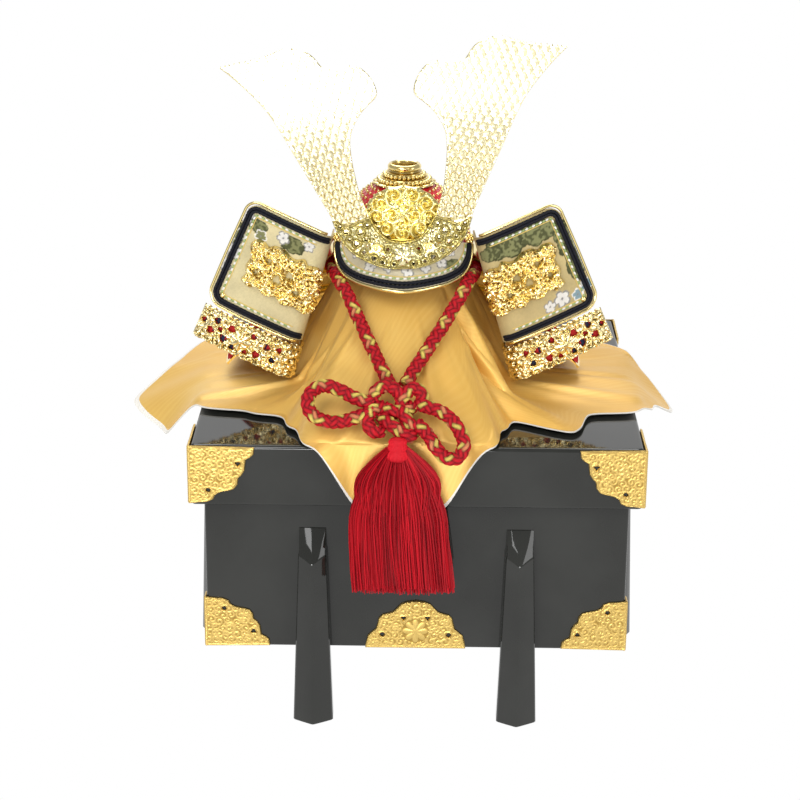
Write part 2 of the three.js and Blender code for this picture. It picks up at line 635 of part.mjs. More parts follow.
function addCrest() {
  const crest = new THREE.Group();
  crest.position.set(0, CREST_Y, CREST_Z);
  crest.rotation.x = -radians(CREST_LEAN);
  object.add(crest);
  const rolled = (degrees, pivot) => {
    const group = new THREE.Group();
    group.position.z = pivot;
    group.rotation.y = -radians(degrees);
    crest.add(group);
    return group;
  };
  const base = rolled(BASE_ROLL, 0);
  add('crest_base', crescent(), BRIGHT_GOLD, base);
  for (const [name, side] of [['left', -1], ['right', 1]]) {
    const stud = new THREE.LatheGeometry([[0, 0], [STUD_RADIUS, 0], [STUD_RADIUS, 0.8],
      [STUD_RADIUS * 0.45, 1.4], [STUD_RADIUS * 0.4, 2.4], [0, 2.8]].map((p) => new THREE.Vector2(...p)), 8);
    stud.rotateX(Math.PI).translate(side * STUD_SPREAD, -BASE_SHEET - GAP, baseUp(-0.22));
    add(`crest_stud_${name}`, stud, BRIGHT_GOLD, base);
  }
  const fork = rolled(BLADE_ROLL, BLADE_PIVOT);
  const blade = bladeGeometry();
  add('crest_blade_right', blade, BRIGHT_GOLD, fork);
  add('crest_blade_left', mirrored(blade), BRIGHT_GOLD, fork);
  add('crest_medallion', medallion(), BRIGHT_GOLD, crest);
}

function crescent() {
  const shape = new THREE.Shape();
  const spots = (rows, side) => rows.map(({ across, up }) =>
    new THREE.Vector2(side * across * BASE_HALF, baseUp(up)));
  const outer = spots([...BASE_OUTER].reverse(), -1).concat(spots(BASE_OUTER.slice(1), 1));
  const outline = new THREE.SplineCurve(outer).getPoints(16);
  const inner = spots(BASE_INNER, 1).concat(spots([...BASE_INNER].reverse().slice(1), -1));
  shape.setFromPoints([...outline, ...inner]);
  for (const { across, up, radius } of BASE_PIERCINGS) {
    for (const side of [-1, 1]) {
      const hole = new THREE.Path();
      hole.absarc(side * across * BASE_HALF, baseUp(up), radius, 0, 2 * Math.PI, false);
      shape.holes.push(new THREE.Path(hole.getPoints(6).slice(0, -1)));
    }
  }
  const plate = new THREE.ExtrudeGeometry(shape, { depth: BASE_SHEET, bevelEnabled: false });
  return plate.rotateX(Math.PI / 2);
}

// Outline of the right blade from its root up the inner edge, as shares of its reach and height
const BLADE_INNER = [
  { across: 0.155, up: -0.16 }, { across: 0.189, up: 0.016 }, { across: 0.238, up: 0.15 },
  { across: 0.263, up: 0.277 }, { across: 0.277, up: 0.40 }, { across: 0.270, up: 0.50 },
  { across: 0.222, up: 0.593 }, { across: 0.165, up: 0.655 }, { across: 0.113, up: 0.70 },
  { across: 0.107, up: 0.745 }, { across: 0.135, up: 0.81 }, { across: 0.185, up: 0.865 },
  { across: 0.250, up: 0.886 }, { across: 0.330, up: 0.887 }, { across: 0.413, up: 0.889 },
];
const BLADE_CROWN = [
  { across: 0.413, up: 0.889 }, { across: 0.462, up: 0.952 }, { across: 0.530, up: 0.99 },
  { across: 0.620, up: 1 }, { across: 0.70, up: 0.975 }, { across: 0.80, up: 0.951 },
  { across: 0.90, up: 0.937 }, { across: 1, up: 0.92 },
];
const BLADE_OUTER = [
  { across: 1, up: 0.92 }, { across: 0.895, up: 0.826 }, { across: 0.77, up: 0.69 },
  { across: 0.69, up: 0.565 }, { across: 0.60, up: 0.39 }, { across: 0.485, up: 0.17 },
  { across: 0.405, up: 0.01 }, { across: 0.36, up: -0.13 },
];

function bladeGeometry() {
  const run = (rows, count) => new THREE.SplineCurve(rows.map(({ across, up }) =>
    new THREE.Vector2(across * BLADE_REACH, up * BLADE_HEIGHT))).getPoints(count);
  const [inner, crown, outer] = [run(BLADE_INNER, 26), run(BLADE_CROWN, 14), run(BLADE_OUTER, 12)];
  const outline = [...inner, ...crown.slice(1), ...outer.slice(1)];
  const shape = new THREE.Shape(outline);
  const plate = new THREE.ExtrudeGeometry(shape, { depth: BLADE_SHEET, bevelEnabled: false });
  return plate.rotateX(Math.PI / 2).translate(0, BLADE_SHEET + GAP, 0);
}

// A domed oval in relief, carried by a tab behind the crescent
function medallion() {
  const back = BLADE_SHEET + 2 * GAP + MEDALLION_SETBACK;
  const [half, rise] = MEDALLION;
  const spot = (a, t) => {
    const angle = 2 * Math.PI * a;
    return P(half * t * Math.sin(angle), 0, rise - 1 - rise * t * Math.cos(angle));
  };
  const relief = (a, t) => {
    const scallop = 0.18 * Math.cos(16 * Math.PI * a) * Math.sin(Math.PI * t);
    return MEDALLION_DEPTH * (1 - t * t) * (1 + scallop) + FITTING_SHEET;
  };
  const front = (a, t) => spot(a, t).add(P(0, back - relief(a, t), 0));
  const rear = (a, t) => spot(a, t).add(P(0, back, 0));
  const disc = roundSheet(rear, front, 20, [0, 0.3, 0.6, 0.85, 1]);
  const tab = block([-9, GAP, -0.6 * BASE_DROP], [9, back, 4]);
  return join(disc, tab);
}

// Turned-back panels

const panelBottom = P(PANEL_CORNER[0], 0, PANEL_CORNER[1]);
const panelAcross = P(Math.cos(radians(PANEL_TILT)), 0, Math.sin(radians(PANEL_TILT)));
const panelUp = P(-Math.sin(radians(PANEL_TILT)), 0, Math.cos(radians(PANEL_TILT)));
const PANEL_ARC = PANEL_BEND * Math.PI / 2;

// A spot of the right panel: reach is the run from the leg's free end round the bend to the outer
// edge, up the height over its lower edge
function panelSpot(reach, up) {
  const inner = PANEL_TAPER * up / PANEL_HEIGHT;
  let across;
  let y;
  if (reach < PANEL_LEG) {
    across = inner;
    y = PANEL_FRONT + PANEL_BEND + (PANEL_LEG - reach);
  } else if (reach < PANEL_LEG + PANEL_ARC) {
    const angle = (reach - PANEL_LEG) / PANEL_BEND;
    across = inner + PANEL_BEND * (1 - Math.cos(angle));
    y = PANEL_FRONT + PANEL_BEND * (1 - Math.sin(angle));
  } else {
    across = inner + PANEL_BEND + (reach - PANEL_LEG - PANEL_ARC);
    y = PANEL_FRONT + PANEL_SETBACK * ((across - inner - PANEL_BEND) / PANEL_WIDTH) ** 2;
  }
  const spot = panelBottom.clone().addScaledVector(panelAcross, across).addScaledVector(panelUp, up);
  return spot.setY(y);
}

// Run of the panel's face at a height, short of the outer edge at its rounded corners
function panelRun(up) {
  const full = PANEL_LEG + PANEL_ARC + PANEL_WIDTH - PANEL_BEND - PANEL_TAPER * up / PANEL_HEIGHT;
  const from = Math.min(up, PANEL_HEIGHT - up);
  if (from >= PANEL_CORNER_RADIUS) return full;
  const rest = PANEL_CORNER_RADIUS - Math.max(from, 0);
  return full - PANEL_CORNER_RADIUS + Math.sqrt(PANEL_CORNER_RADIUS ** 2 - rest ** 2);
}

const panelPoint = (u, v) => panelSpot(u * panelRun(v * PANEL_HEIGHT), v * PANEL_HEIGHT);

const panelColumns = [0, 0.17, 0.22, 0.27, 0.32, 0.48, 0.65, 0.82, 1];
const panelRows = [0, 0.03, 0.12, 0.5, 0.88, 0.97, 1];

// The panel's free edge from the bend along the bottom, up the outside and back along the top
function panelEdge(inset, out, rise) {
  const start = (PANEL_LEG + PANEL_ARC * 0.75) / panelRun(PANEL_HEIGHT / 2);
  const edge = [];
  const low = inset / PANEL_HEIGHT;
  const side = 1 - inset / PANEL_WIDTH;
  for (const k of steps(7)) edge.push([lerp(start, side - 0.02, k), low]);
  for (const k of steps(8)) edge.push([side, lerp(low + 0.06, 1 - low - 0.06, k)]);
  for (const k of steps(7)) edge.push([lerp(side - 0.02, start, k), 1 - low]);
  const middle = panelPoint(0.66, 0.5);
  return edge.map(([u, v]) => {
    const spot = offsetPoint(panelPoint, u, v, rise);
    const outward = spot.clone().sub(middle).setY(0).normalize();
    return spot.addScaledVector(outward, out);
  });
}

function ornamentPoint(u, v) {
  const ragged = 1 + 0.03 * Math.sin(4 * Math.PI * v) * u;
  const reach = PANEL_LEG + PANEL_ARC * 0.25 + u * ragged * ORNAMENT[0];
  return panelSpot(reach, ORNAMENT_LOW + ORNAMENT[1] * (v + 0.03 * Math.sin(5 * Math.PI * u)));
}

const ornamentRise = (u, v) => {
  const wave = Math.sin(6.5 * Math.PI * u + 2 * Math.sin(3 * Math.PI * v));
  const swirl = wave * Math.sin(4 * Math.PI * v + 3 * u);
  return PLATE + 3 * GAP + ORNAMENT_RISE * (0.55 + 0.45 * swirl);
};

function bandPoint(u, v) {
  const scallop = 1.2 * Math.cos(10 * Math.PI * u) * (1 - v);
  const up = -BAND_HEIGHT * (1 - v) - RIM_WIRE * 2 - 3 * GAP + scallop;
  const full = PANEL_LEG + PANEL_ARC + PANEL_WIDTH - PANEL_BEND - PANEL_TAPER * up / PANEL_HEIGHT;
  return panelSpot(lerp(PANEL_LEG * 0.5, full, u), up);
}

// Gaps of the pierced band, as shares along it and up it, with their radii
const BAND_PIERCINGS = [
  { along: 0.40, up: 0.60, radius: 2.8 }, { along: 0.47, up: 0.28, radius: 2.6 },
  { along: 0.53, up: 0.72, radius: 2.4 }, { along: 0.72, up: 0.66, radius: 2.8 },
  { along: 0.76, up: 0.30, radius: 2.8 }, { along: 0.85, up: 0.70, radius: 2.4 },
  { along: 0.88, up: 0.36, radius: 2.6 }, { along: 0.94, up: 0.62, radius: 1.8 },
];

const bandColumns = [0, 0.10, 0.16, 0.22, 0.30, 0.42, 0.54, 0.66, 0.78, 0.89, 1];

function bandGeometry() {
  const plate = sheet(bandPoint, bandColumns, steps(2), 0, BAND_SHEET);
  const drills = BAND_PIERCINGS.map(({ along, up, radius }) => {
    const spot = bandPoint(along, up);
    return new THREE.CylinderGeometry(radius, radius, 8, 5).translate(spot.x, spot.y, spot.z);
  });
  const flower = bandPoint(0.62, 0.5);
  const boss = new THREE.CylinderGeometry(6.5, 4.5, 2, 10).rotateX(Math.PI)
    .translate(flower.x, flower.y - BAND_SHEET - 0.6, flower.z);
  return join(cut(plate, ...drills), boss);
}

function addPanels() {
  const pieces = {
    side_panel: [sheet(panelPoint, panelColumns, panelRows, 0, PLATE), BROCADE],
    panel_cord_rim: [tube(panelEdge(4.2, 0, PLATE + 2 * GAP + RIM_CORD), RIM_CORD, 5, 24), NAVY],
    panel_gold_rim: [tube(panelEdge(0, 2.5 * GAP + RIM_WIRE, PLATE / 2), RIM_WIRE, 5, 24), BRIGHT_GOLD],
    panel_ornament: [sheet(ornamentPoint, steps(11), steps(6), PLATE + 2 * GAP, ornamentRise), BRIGHT_GOLD],
    pierced_band: [bandGeometry(), BRIGHT_GOLD],
  };
  for (const [name, [geometry, material]] of Object.entries(pieces)) {
    add(`${name}_right`, geometry, material);
    add(`${name}_left`, mirrored(geometry), material);
  }
}

// Neck guard

// One lame: u runs round the back from -x to +x, v from its upper to its lower edge
function lamePoint(index, u, v) {
  const pitch = 1 / LAMES;
  const slant = Math.hypot(...NECK_SPREAD);
  const run = pitch * index + v * (pitch + LAME_LAP / slant);
  const raise = LAME_RAISE * v;
  const r = NECK_TOP[0] + NECK_SPREAD[0] * run - NECK_SPREAD[1] / slant * raise;
  const z = NECK_TOP[1] + NECK_SPREAD[1] * run + NECK_SPREAD[0] / slant * raise;
  const reach = Math.PI / 2 + Math.asin(-NECK_FRONT / r / NECK_STRETCH);
  const angle = reach * (2 * u - 1);
  return P(r * Math.sin(angle), NECK_STRETCH * r * Math.cos(angle), z);
}

function addNeckGuard() {
  for (let k = 0; k < LAMES; k++) {
    const point = (u, v) => lamePoint(k, 1 - u, v);
    add(`neck_lame_${k + 1}`, sheet(point, steps(22), steps(1), 0, PLATE), BRIGHT_GOLD);
  }
}

// Cord: its routes are chosen by hand, with heights from the bowl's rim

const LEFT_RUN = [[-7.2, -124.8, -67.3], [-14, -112, -58.3], [-23.5, -94, -44.5], [-32, -78, -31.5],
  [-39, -64.5, -20.5], [-47, -46, -13], [-51.5, -28, -12.5]];
const RIGHT_RUN = [[52.5, -27, -12.5], [48, -46, -13], [42, -63, -19.5], [32, -79, -32.5], [21, -95.5, -45.5],
  [9.5, -112.5, -58.7], [2.4, -124.8, -67.3]];
const BACK_RADIUS = BOWL_HALF_WIDTH + 4.5;
const LEFT_LOOP = [[-19, -142.5, -74.5], [-32, -141, -70.5], [-44, -138, -65.5], [-54, -136, -63.5],
  [-62, -138, -67], [-65, -143, -72.5], [-62.5, -148, -79.5], [-53, -150.5, -84.5], [-40, -150.5, -84.5],
  [-29, -149, -81.5], [-18.5, -146.5, -78.5]];
const RIGHT_LOOP = [[13.3, -143.5, -74.5], [24, -148.5, -75.5], [33.5, -153, -79.5], [41, -159, -87],
  [44.5, -164, -96.5], [40, -167, -104.5], [32, -167, -104.5], [25, -164.5, -98], [19, -159, -90],
  [11.5, -153.5, -84.5]];

const CORD_LEVEL = BOWL_RIM - 12.5;
const fromRim = ([x, y, z]) => P(x, y, BOWL_RIM + z);
const routed = (rows) => rows.map(fromRim);

function addCord() {
  const round = steps(8).slice(1, -1).map((k) => {
    const angle = lerp(radians(-115), radians(115), k);
    return P(BACK_RADIUS * Math.sin(angle), BACK_RADIUS * Math.cos(angle) * NECK_STRETCH, CORD_LEVEL);
  });
  const loop = [...routed(LEFT_RUN), ...round, ...routed(RIGHT_RUN)];
  add('chin_cord', tube(loop, CORD_RADIUS, 8, 38), CRIMSON);
  add('bow_loop_left', tube(routed(LEFT_LOOP), CORD_RADIUS, 8, 18), CRIMSON);
  add('bow_loop_right', tube(routed(RIGHT_LOOP), CORD_RADIUS, 8, 18), CRIMSON);
}

// The bow's knot: a flat bundle of four bights
const KNOT_CENTRE = [-3, -142, -79.1];
const KNOT_HALF = [14, 8, 20];
const KNOT_TILT = 40;

function addKnot() {
  const lump = (a, t) => {
    const turn = 2 * Math.PI * a;
    const swell = 1 + 0.10 * Math.cos(4 * turn);
    const rise = Math.sqrt(Math.max(0, 1 - t * t));
    return [KNOT_HALF[0] * t * swell * Math.sin(turn), rise, -KNOT_HALF[2] * t * swell * Math.cos(turn)];
  };
  const side = (sign) => (a, t) => {
    const [x, rise, z] = lump(a, t);
    return P(x, -sign * (KNOT_HALF[1] * rise + 0.5), z).applyAxisAngle(P(1, 0, 0), radians(-KNOT_TILT))
      .add(fromRim(KNOT_CENTRE));
  };
  add('cord_knot', roundSheet(side(-1), side(1), 16, [0, 0.4, 0.75, 0.93, 1]), CRIMSON);
}

// Sections of a lock from the head down: t is the share of the tassel's height
const TASSEL_ROWS = [
  { t: 0.02, size: 0.5, spread: 0.16 },
  { t: 0.28, size: 0.85, spread: 0.62 },
  { t: 1, size: 1, spread: 0.84 },
];
const LOCKS = 6;
// Corners of a lock's section, as shares of its half width and half depth
const LOCK_CORNERS = [[-1, 0.5], [-0.5, 1], [0.5, 1], [1, 0.5], [1, -0.5], [0.5, -1], [-0.5, -1], [-1, -0.5]];
const LOCK_LAP = 1.4;

// The tassel: locks side by side, fused to a rounded head
function addTassel() {
  const top = fromRim(TASSEL_TOP);
  const head = new THREE.SphereGeometry(1, 10, 8).scale(TASSEL_HALF * 0.28, TASSEL_DEPTH, TASSEL_HALF * 0.24);
  const locks = [];
  for (let k = 0; k < LOCKS; k++) {
    const share = (k + 0.5) / LOCKS * 2 - 1;
    const width = TASSEL_HALF / LOCKS * LOCK_LAP;
    const spots = [];
    for (const { t, size, spread } of TASSEL_ROWS) {
      const depth = TASSEL_DEPTH * size * lerp(1, 0.85, share * share);
      for (const [sx, sy] of LOCK_CORNERS) {
        spots.push(P(share * spread * TASSEL_HALF + sx * width * size, sy * depth * 0.8, -t * TASSEL_HEIGHT));
      }
    }
    locks.push(new ConvexGeometry(spots));
  }
  add('tassel', join(head, ...locks).translate(...top.toArray()), CRIMSON);
}

addChest();
addStand();
addCloth();
addBowl();
addFinial();
addVisor();
addCrest();
addPanels();
addNeckGuard();
addCord();
addKnot();
addTassel();

export default object;
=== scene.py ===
# Samurai helmet (kabuto) on its lacquered chest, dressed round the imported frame.
# Sums are in millimetres, with +Z up and the front towards -Y; put() turns them into metres.
import math
import bpy
import numpy as np
from mathutils import Matrix
from mathutils.geometry import delaunay_2d_cdt


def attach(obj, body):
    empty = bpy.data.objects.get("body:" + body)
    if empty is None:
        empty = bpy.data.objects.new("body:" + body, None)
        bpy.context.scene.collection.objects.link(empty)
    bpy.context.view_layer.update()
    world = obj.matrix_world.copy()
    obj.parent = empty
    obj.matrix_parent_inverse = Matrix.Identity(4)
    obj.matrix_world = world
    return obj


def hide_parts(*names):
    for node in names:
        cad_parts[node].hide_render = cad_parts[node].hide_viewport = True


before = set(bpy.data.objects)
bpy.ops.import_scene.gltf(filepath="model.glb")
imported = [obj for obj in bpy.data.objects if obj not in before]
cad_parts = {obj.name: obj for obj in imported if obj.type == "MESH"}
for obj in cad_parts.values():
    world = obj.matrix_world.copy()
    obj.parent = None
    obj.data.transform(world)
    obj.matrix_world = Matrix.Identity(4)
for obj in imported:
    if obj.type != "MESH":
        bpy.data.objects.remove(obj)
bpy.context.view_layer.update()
MM = 0.001
TURN = 2 * math.pi
scene = bpy.context.scene

# Sizes shared with the frame
LID_TOP = 214.0
RIM = 318.0
CHEST_X = 12.0
GAP = 0.35
PLATE = 1.2
BOX_HALF, LID_HALF = (151.5, 141.5), (160.0, 150.0)
BOX_FOOT = 54.5


# Camera at the photograph's angle

SENSOR, PHOTO_WIDTH = 36.0, 800


def aimed(spot, ahead, right, up):
    """Where a camera or lamp stands: its own x to the right, y up and -z ahead, at a spot in millimetres."""
    turn = Matrix([[right[k], up[k], -ahead[k]] for k in range(3)]).to_4x4()
    return Matrix.Translation([v * MM for v in spot]) @ turn


def look(spot, pitch, yaw, roll, focal):
    """The camera's axes are the view direction, its right and its up, turned by the roll."""
    p, w, r = (math.radians(a) for a in (pitch, yaw, roll))
    ahead = np.array([-math.sin(w) * math.cos(p), math.cos(w) * math.cos(p), -math.sin(p)])
    right = np.array([math.cos(w), math.sin(w), 0.0])
    up = np.cross(right, ahead)
    right, up = right * math.cos(r) + up * math.sin(r), up * math.cos(r) - right * math.sin(r)
    data = bpy.data.cameras.new("camera")
    data.sensor_width = SENSOR
    data.lens = SENSOR * focal / PHOTO_WIDTH
    data.clip_start, data.clip_end = 0.05, 20.0
    camera = bpy.data.objects.new("camera", data)
    camera.matrix_world = aimed(spot, ahead, right, up)
    scene.collection.objects.link(camera)
    scene.camera = camera


look((17.1, -1551.2, 757.3), 19.919, 0.71, 0.40, 2142.3)


# Shapes

def shape(points, faces, uv):
    """A part: its points in millimetres, groups of faces with as many corners each, the corners' UV, and a
    colour for each point, white at first, which is its own tint and on gilt and braided parts also painted shade."""
    points = np.asarray(points, float).reshape(-1, 3)
    return {"points": points, "faces": [np.asarray(f, np.int64) for f in faces], "uv": uv,
            "dye": np.ones(points.shape)}


def join(*parts):
    """All parts in one shape, their face numbers moved on by the points before them."""
    faces, start = [], 0
    for part in parts:
        faces += [f + start for f in part["faces"]]
        start += len(part["points"])
    whole = shape(np.vstack([p["points"] for p in parts]), faces, sum((p["uv"] for p in parts), []))
    return dict(whole, dye=np.vstack([p["dye"] for p in parts]))


def flipped(part):
    """The part with its faces turned back."""
    return dict(part, faces=[f[:, ::-1] for f in part["faces"]], uv=[u[:, ::-1] for u in part["uv"]])


def volume(part):
    """Six times the signed volume: the sum of the triple products of each face's fan."""
    total = 0.0
    for f in part["faces"]:
        p = part["points"][f]
        for k in range(1, f.shape[1] - 1):
            total += np.einsum("ij,ij->", p[:, 0], np.cross(p[:, k], p[:, k + 1]))
    return total


def outward(part):
    """The part with its faces turned so that its volume is above zero."""
    return part if volume(part) >= 0 else flipped(part)


def mirrored(part):
    """The same shape on the other side of x = 0, with its faces turned back."""
    return dict(flipped(part), points=part["points"] * [-1, 1, 1])


def tinted(part, colors):
    """The part with one colour, or with one for each of its equal bodies in turn."""
    colors = np.atleast_2d(colors)
    return dict(part, dye=np.repeat(colors, len(part["points"]) // len(colors), 0))


def put(name, part, material, replaces=(), crease=38):
    """One piece of the scene: its mesh in metres, shading, UV, a point colour of tint and painted shade, slot and the
    nodes it stands for.
    """
    mesh = bpy.data.meshes.new(name)
    corners = np.concatenate([f.ravel() for f in part["faces"]]).astype(np.int32)
    totals = np.concatenate([np.full(len(f), f.shape[1], np.int32) for f in part["faces"]])
    mesh.vertices.add(len(part["points"]))
    mesh.vertices.foreach_set("co", (part["points"] * MM).astype(np.float32).ravel())
    mesh.loops.add(len(corners))
    mesh.loops.foreach_set("vertex_index", corners)
    mesh.polygons.add(len(totals))
    mesh.polygons.foreach_set("loop_start", np.concatenate([[0], np.cumsum(totals)[:-1]]).astype(np.int32))
    mesh.polygons.foreach_set("loop_total", totals)
    mesh.update(calc_edges=True)
    layer = mesh.uv_layers.new(name="UVMap")
    layer.data.foreach_set("uv", np.concatenate([u.reshape(-1, 2) for u in part["uv"]]).astype(np.float32).ravel())
    # This point colour holds each point's tint, and on gilt and braided parts its painted shade.
    tint = np.column_stack([part["dye"], np.ones(len(part["points"]))])
    dye = mesh.attributes.new("dye", "FLOAT_COLOR", "POINT")
    dye.data.foreach_set("color", tint.astype(np.float32).ravel())
    mesh.polygons.foreach_set("use_smooth", np.ones(len(totals), bool))
    mesh.validate()
    mesh.set_sharp_from_angle(angle=math.radians(crease))
    mesh.materials.append(material)
    piece = bpy.data.objects.new(name, mesh)
    scene.collection.objects.link(piece)
    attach(piece, "root")
    if replaces:
        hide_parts(*replaces)
    return piece


def both(name, part, material, nodes=(), crease=40):
    """The part as the right piece, and its mirror image as the left one."""
    for side, made in (("right", part), ("left", mirrored(part))):
        put(f"{name}_{side}", made, material, [f"{n}_{side}" for n in nodes], crease)


def unit(vectors):
    """Vectors of length one."""
    return vectors / np.maximum(np.linalg.norm(vectors, axis=-1, keepdims=True), 1e-9)


def mix(a, b, t):
    """Straight from a at 0 to b at 1."""
    return a + (b - a) * t


def smooth(t):
    """A soft step: three squares less two cubes, level below 0 and above 1."""
    t = np.clip(t, 0, 1)
    return t * t * (3 - 2 * t)


def bell(x, middle, width):
    """1 at the middle, falling off as e to the minus square of the distance in widths."""
    return np.exp(-((x - middle) / width) ** 2)


def turns(count):
    """Angles that part a full turn evenly."""
    return np.arange(count) / count * TURN


def spots_of(*axes):
    """Points from their coordinates; a plain number holds for all of them."""
    return np.stack(np.broadcast_arrays(*axes), -1)


def round_axis(r, angle, z, stretch=1.0):
    """Points round the z axis, the angle counted from the front towards +x; stretch lengthens their y."""
    return spots_of(r * np.sin(angle), -r * np.cos(angle) * stretch, z)


def grid(rows, columns, around=False):
    """Quads of a grid of points, and their corners' column and row numbers."""
    j, i = np.meshgrid(np.arange(rows - 1), np.arange(columns - (0 if around else 1)), indexing="ij")
    i, j = i.ravel(), j.ravel()
    ci = np.stack([i, i + 1, i + 1, i], -1)
    cj = np.stack([j, j, j + 1, j + 1], -1)
    return cj * columns + ci % columns, ci, cj


def run_down(points):
    """The mean run down a grid, row after row."""
    return np.concatenate([[0], np.cumsum(np.linalg.norm(np.diff(points, axis=0), axis=-1).mean(1))])


def shell(points, rise, dye=None):
    """A closed wall over a grid: the grid itself and a skin raised from it along its normals, which are the
    cross product of its two gradients, joined at the edges. UV in millimetres."""
    rows, columns = points.shape[:2]
    out = unit(np.cross(np.gradient(points, axis=1), np.gradient(points, axis=0)))
    raised = points + out * np.broadcast_to(rise, (rows, columns))[..., None]
    quads, ci, cj = grid(rows, columns)
    uv = spots_of(run_down(points.swapaxes(0, 1))[ci], run_down(points)[cj])
    count = rows * columns
    k = np.arange(count).reshape(rows, columns)
    rim = np.concatenate([k[0, :-1], k[:-1, -1], k[-1, :0:-1], k[:0:-1, 0]])
    after = np.roll(rim, -1)
    sides = np.stack([rim + count, after + count, after, rim], -1)
    part = shape([raised, points], [quads, quads[:, ::-1] + count, sides],
                 [uv, uv[:, ::-1], np.zeros(sides.shape + (2,))])
    if dye is not None:
        part["dye"] = np.tile(dye.reshape(-1, 3), (2, 1))
    return outward(part)


def fan(ring, middle):
    """Triangles from each stretch of a ring of point numbers to the middle's number."""
    return np.stack([np.full(len(ring), middle), np.roll(ring, -1), ring], -1)


def rings(points):
    """A closed body from rows of rings, each end closed by a fan to its middle."""
    rows, count = points.shape[:2]
    quads, ci, cj = grid(rows, count, around=True)
    v = run_down(points)
    k, n = np.arange(count), rows * count
    fans = np.concatenate([fan(k, n), fan(n - count + k, n + 1)[:, [0, 2, 1]]])
    fan_uv = np.zeros(fans.shape + (2,))
    fan_uv[count:, :, 1] = v[-1]
    flat = np.vstack([points.reshape(-1, 3), points[0].mean(0), points[-1].mean(0)])
    return outward(shape(flat, [quads, fans], [spots_of(ci / count, v[cj]), fan_uv]))


def turned(profile, count, radius_of=None, stretch=1.0):
    """A profile of radius and height spun round the z axis; radius_of may change it by angle."""
    angle = turns(count)
    r, z = (np.repeat(np.asarray(profile, float)[:, k:k + 1], count, 1) for k in (0, 1))
    if radius_of is not None:
        r, z = radius_of(r, z, angle[None, :])
    return rings(round_axis(r, angle, z, stretch))


def curve_at(points, t):
    """Centripetal Catmull-Rom curve through the points, at shares t of its spans."""
    p = np.asarray(points, float)
    p = np.vstack([2 * p[0] - p[1], p, 2 * p[-1] - p[-2]])
    t = np.asarray(t, float) * (len(p) - 3)
    k = np.clip(np.floor(t).astype(int), 0, len(p) - 4)
    w = (t - k)[..., None]
    x0, x1, x2, x3 = p[k], p[k + 1], p[k + 2], p[k + 3]
    step = lambda a, b: np.maximum(np.linalg.norm(b - a, axis=-1, keepdims=True), 1e-6) ** 0.5
    d0, d1, d2 = step(x0, x1), step(x1, x2), step(x2, x3)
    m1 = ((x1 - x0) / d0 - (x2 - x0) / (d0 + d1) + (x2 - x1) / d1) * d1
    m2 = ((x2 - x1) / d1 - (x3 - x1) / (d1 + d2) + (x3 - x2) / d2) * d1
    return x1 + m1 * w + (3 * (x2 - x1) - 2 * m1 - m2) * w ** 2 + (2 * (x1 - x2) + m1 + m2) * w ** 3


def run_of(path):
    """The run along a path up to each of its points."""
    return np.concatenate([[0], np.cumsum(np.linalg.norm(np.diff(path, axis=0), axis=1))])


def evenly(path, pitch):
    """The path again, with its points a pitch apart."""
    run = run_of(path)
    at = np.linspace(0, run[-1], max(3, int(round(run[-1] / pitch)) + 1))
    return np.stack([np.interp(at, run, path[:, k]) for k in range(path.shape[1])], -1)


def curve(points, pitch):
    """The curve through the points, its own points a pitch apart."""
    return evenly(curve_at(points, np.linspace(0, 1, 40 * len(points))), pitch)


def carried(path):
    """Tangents and a side vector that is carried along the path without twisting."""
    ahead = unit(np.gradient(path, axis=0))
    side = np.empty_like(path)
    start = np.cross(ahead[0], [0.3, 0.2, 0.93])
    for k in range(len(path)):
        start = start - ahead[k] * (start @ ahead[k])
        start = start / np.linalg.norm(start)
        side[k] = start
    return ahead, side, np.cross(ahead, side)


def sweep(path, radius, sides, swell=None, ends=True):
    """A round section carried along a path; swell(run, angle) multiplies the radius. Ends are rounded."""
    ahead, side, up = carried(path)
    angle = turns(sides)
    r = np.full((len(path), sides), float(radius))
    if swell is not None:
        r = r * swell(run_of(path)[:, None], angle[None, :])
    spots = (path[:, None] + side[:, None] * (r * np.cos(angle))[..., None]
             + up[:, None] * (r * np.sin(angle))[..., None])
    if ends:
        cap = np.array([0.25, 0.7, 0.93])[:, None, None]
        end = lambda k, share, way: (path[k] + (spots[k] - path[k]) * share
                                     + ahead[k] * way * radius * (np.sqrt(1 - share ** 2) * 0.7))
        spots = np.concatenate([end(0, cap, -1), spots, end(-1, cap[::-1], 1)])
    return rings(spots)


def scattered(part, spots, across, out, sizes):
    """The same small body at many spots, its x along `across`, its z along `out`, scaled by sizes."""
    spots, across, out, sizes = np.broadcast_arrays(spots, across, out, np.asarray(sizes, float))
    out = unit(out)
    across = unit(across - out * (across * out).sum(-1, keepdims=True))
    axes = np.stack([across, np.cross(out, across), out], -1)
    points = np.einsum("nij,nkj->nki", axes, part["points"][None] * sizes[:, None]) + spots[:, None]
    step = (np.arange(len(spots)) * len(part["points"]))[:, None, None]
    faces = [(f[None] + step).reshape(-1, f.shape[1]) for f in part["faces"]]
    return shape(points, faces, [np.tile(u, (len(spots), 1, 1)) for u in part["uv"]])


def dome(sides, rows, under=0.25):
    """A low bead: rings of a half sphere over a short straight wall."""
    tilt = np.linspace(0, math.pi / 2 * 0.86, rows)
    r = np.concatenate([[1.0], np.cos(tilt)])[:, None]
    z = np.concatenate([[-under], np.sin(tilt)])[:, None]
    return rings(spots_of(r * np.cos(turns(sides)), r * np.sin(turns(sides)), z))


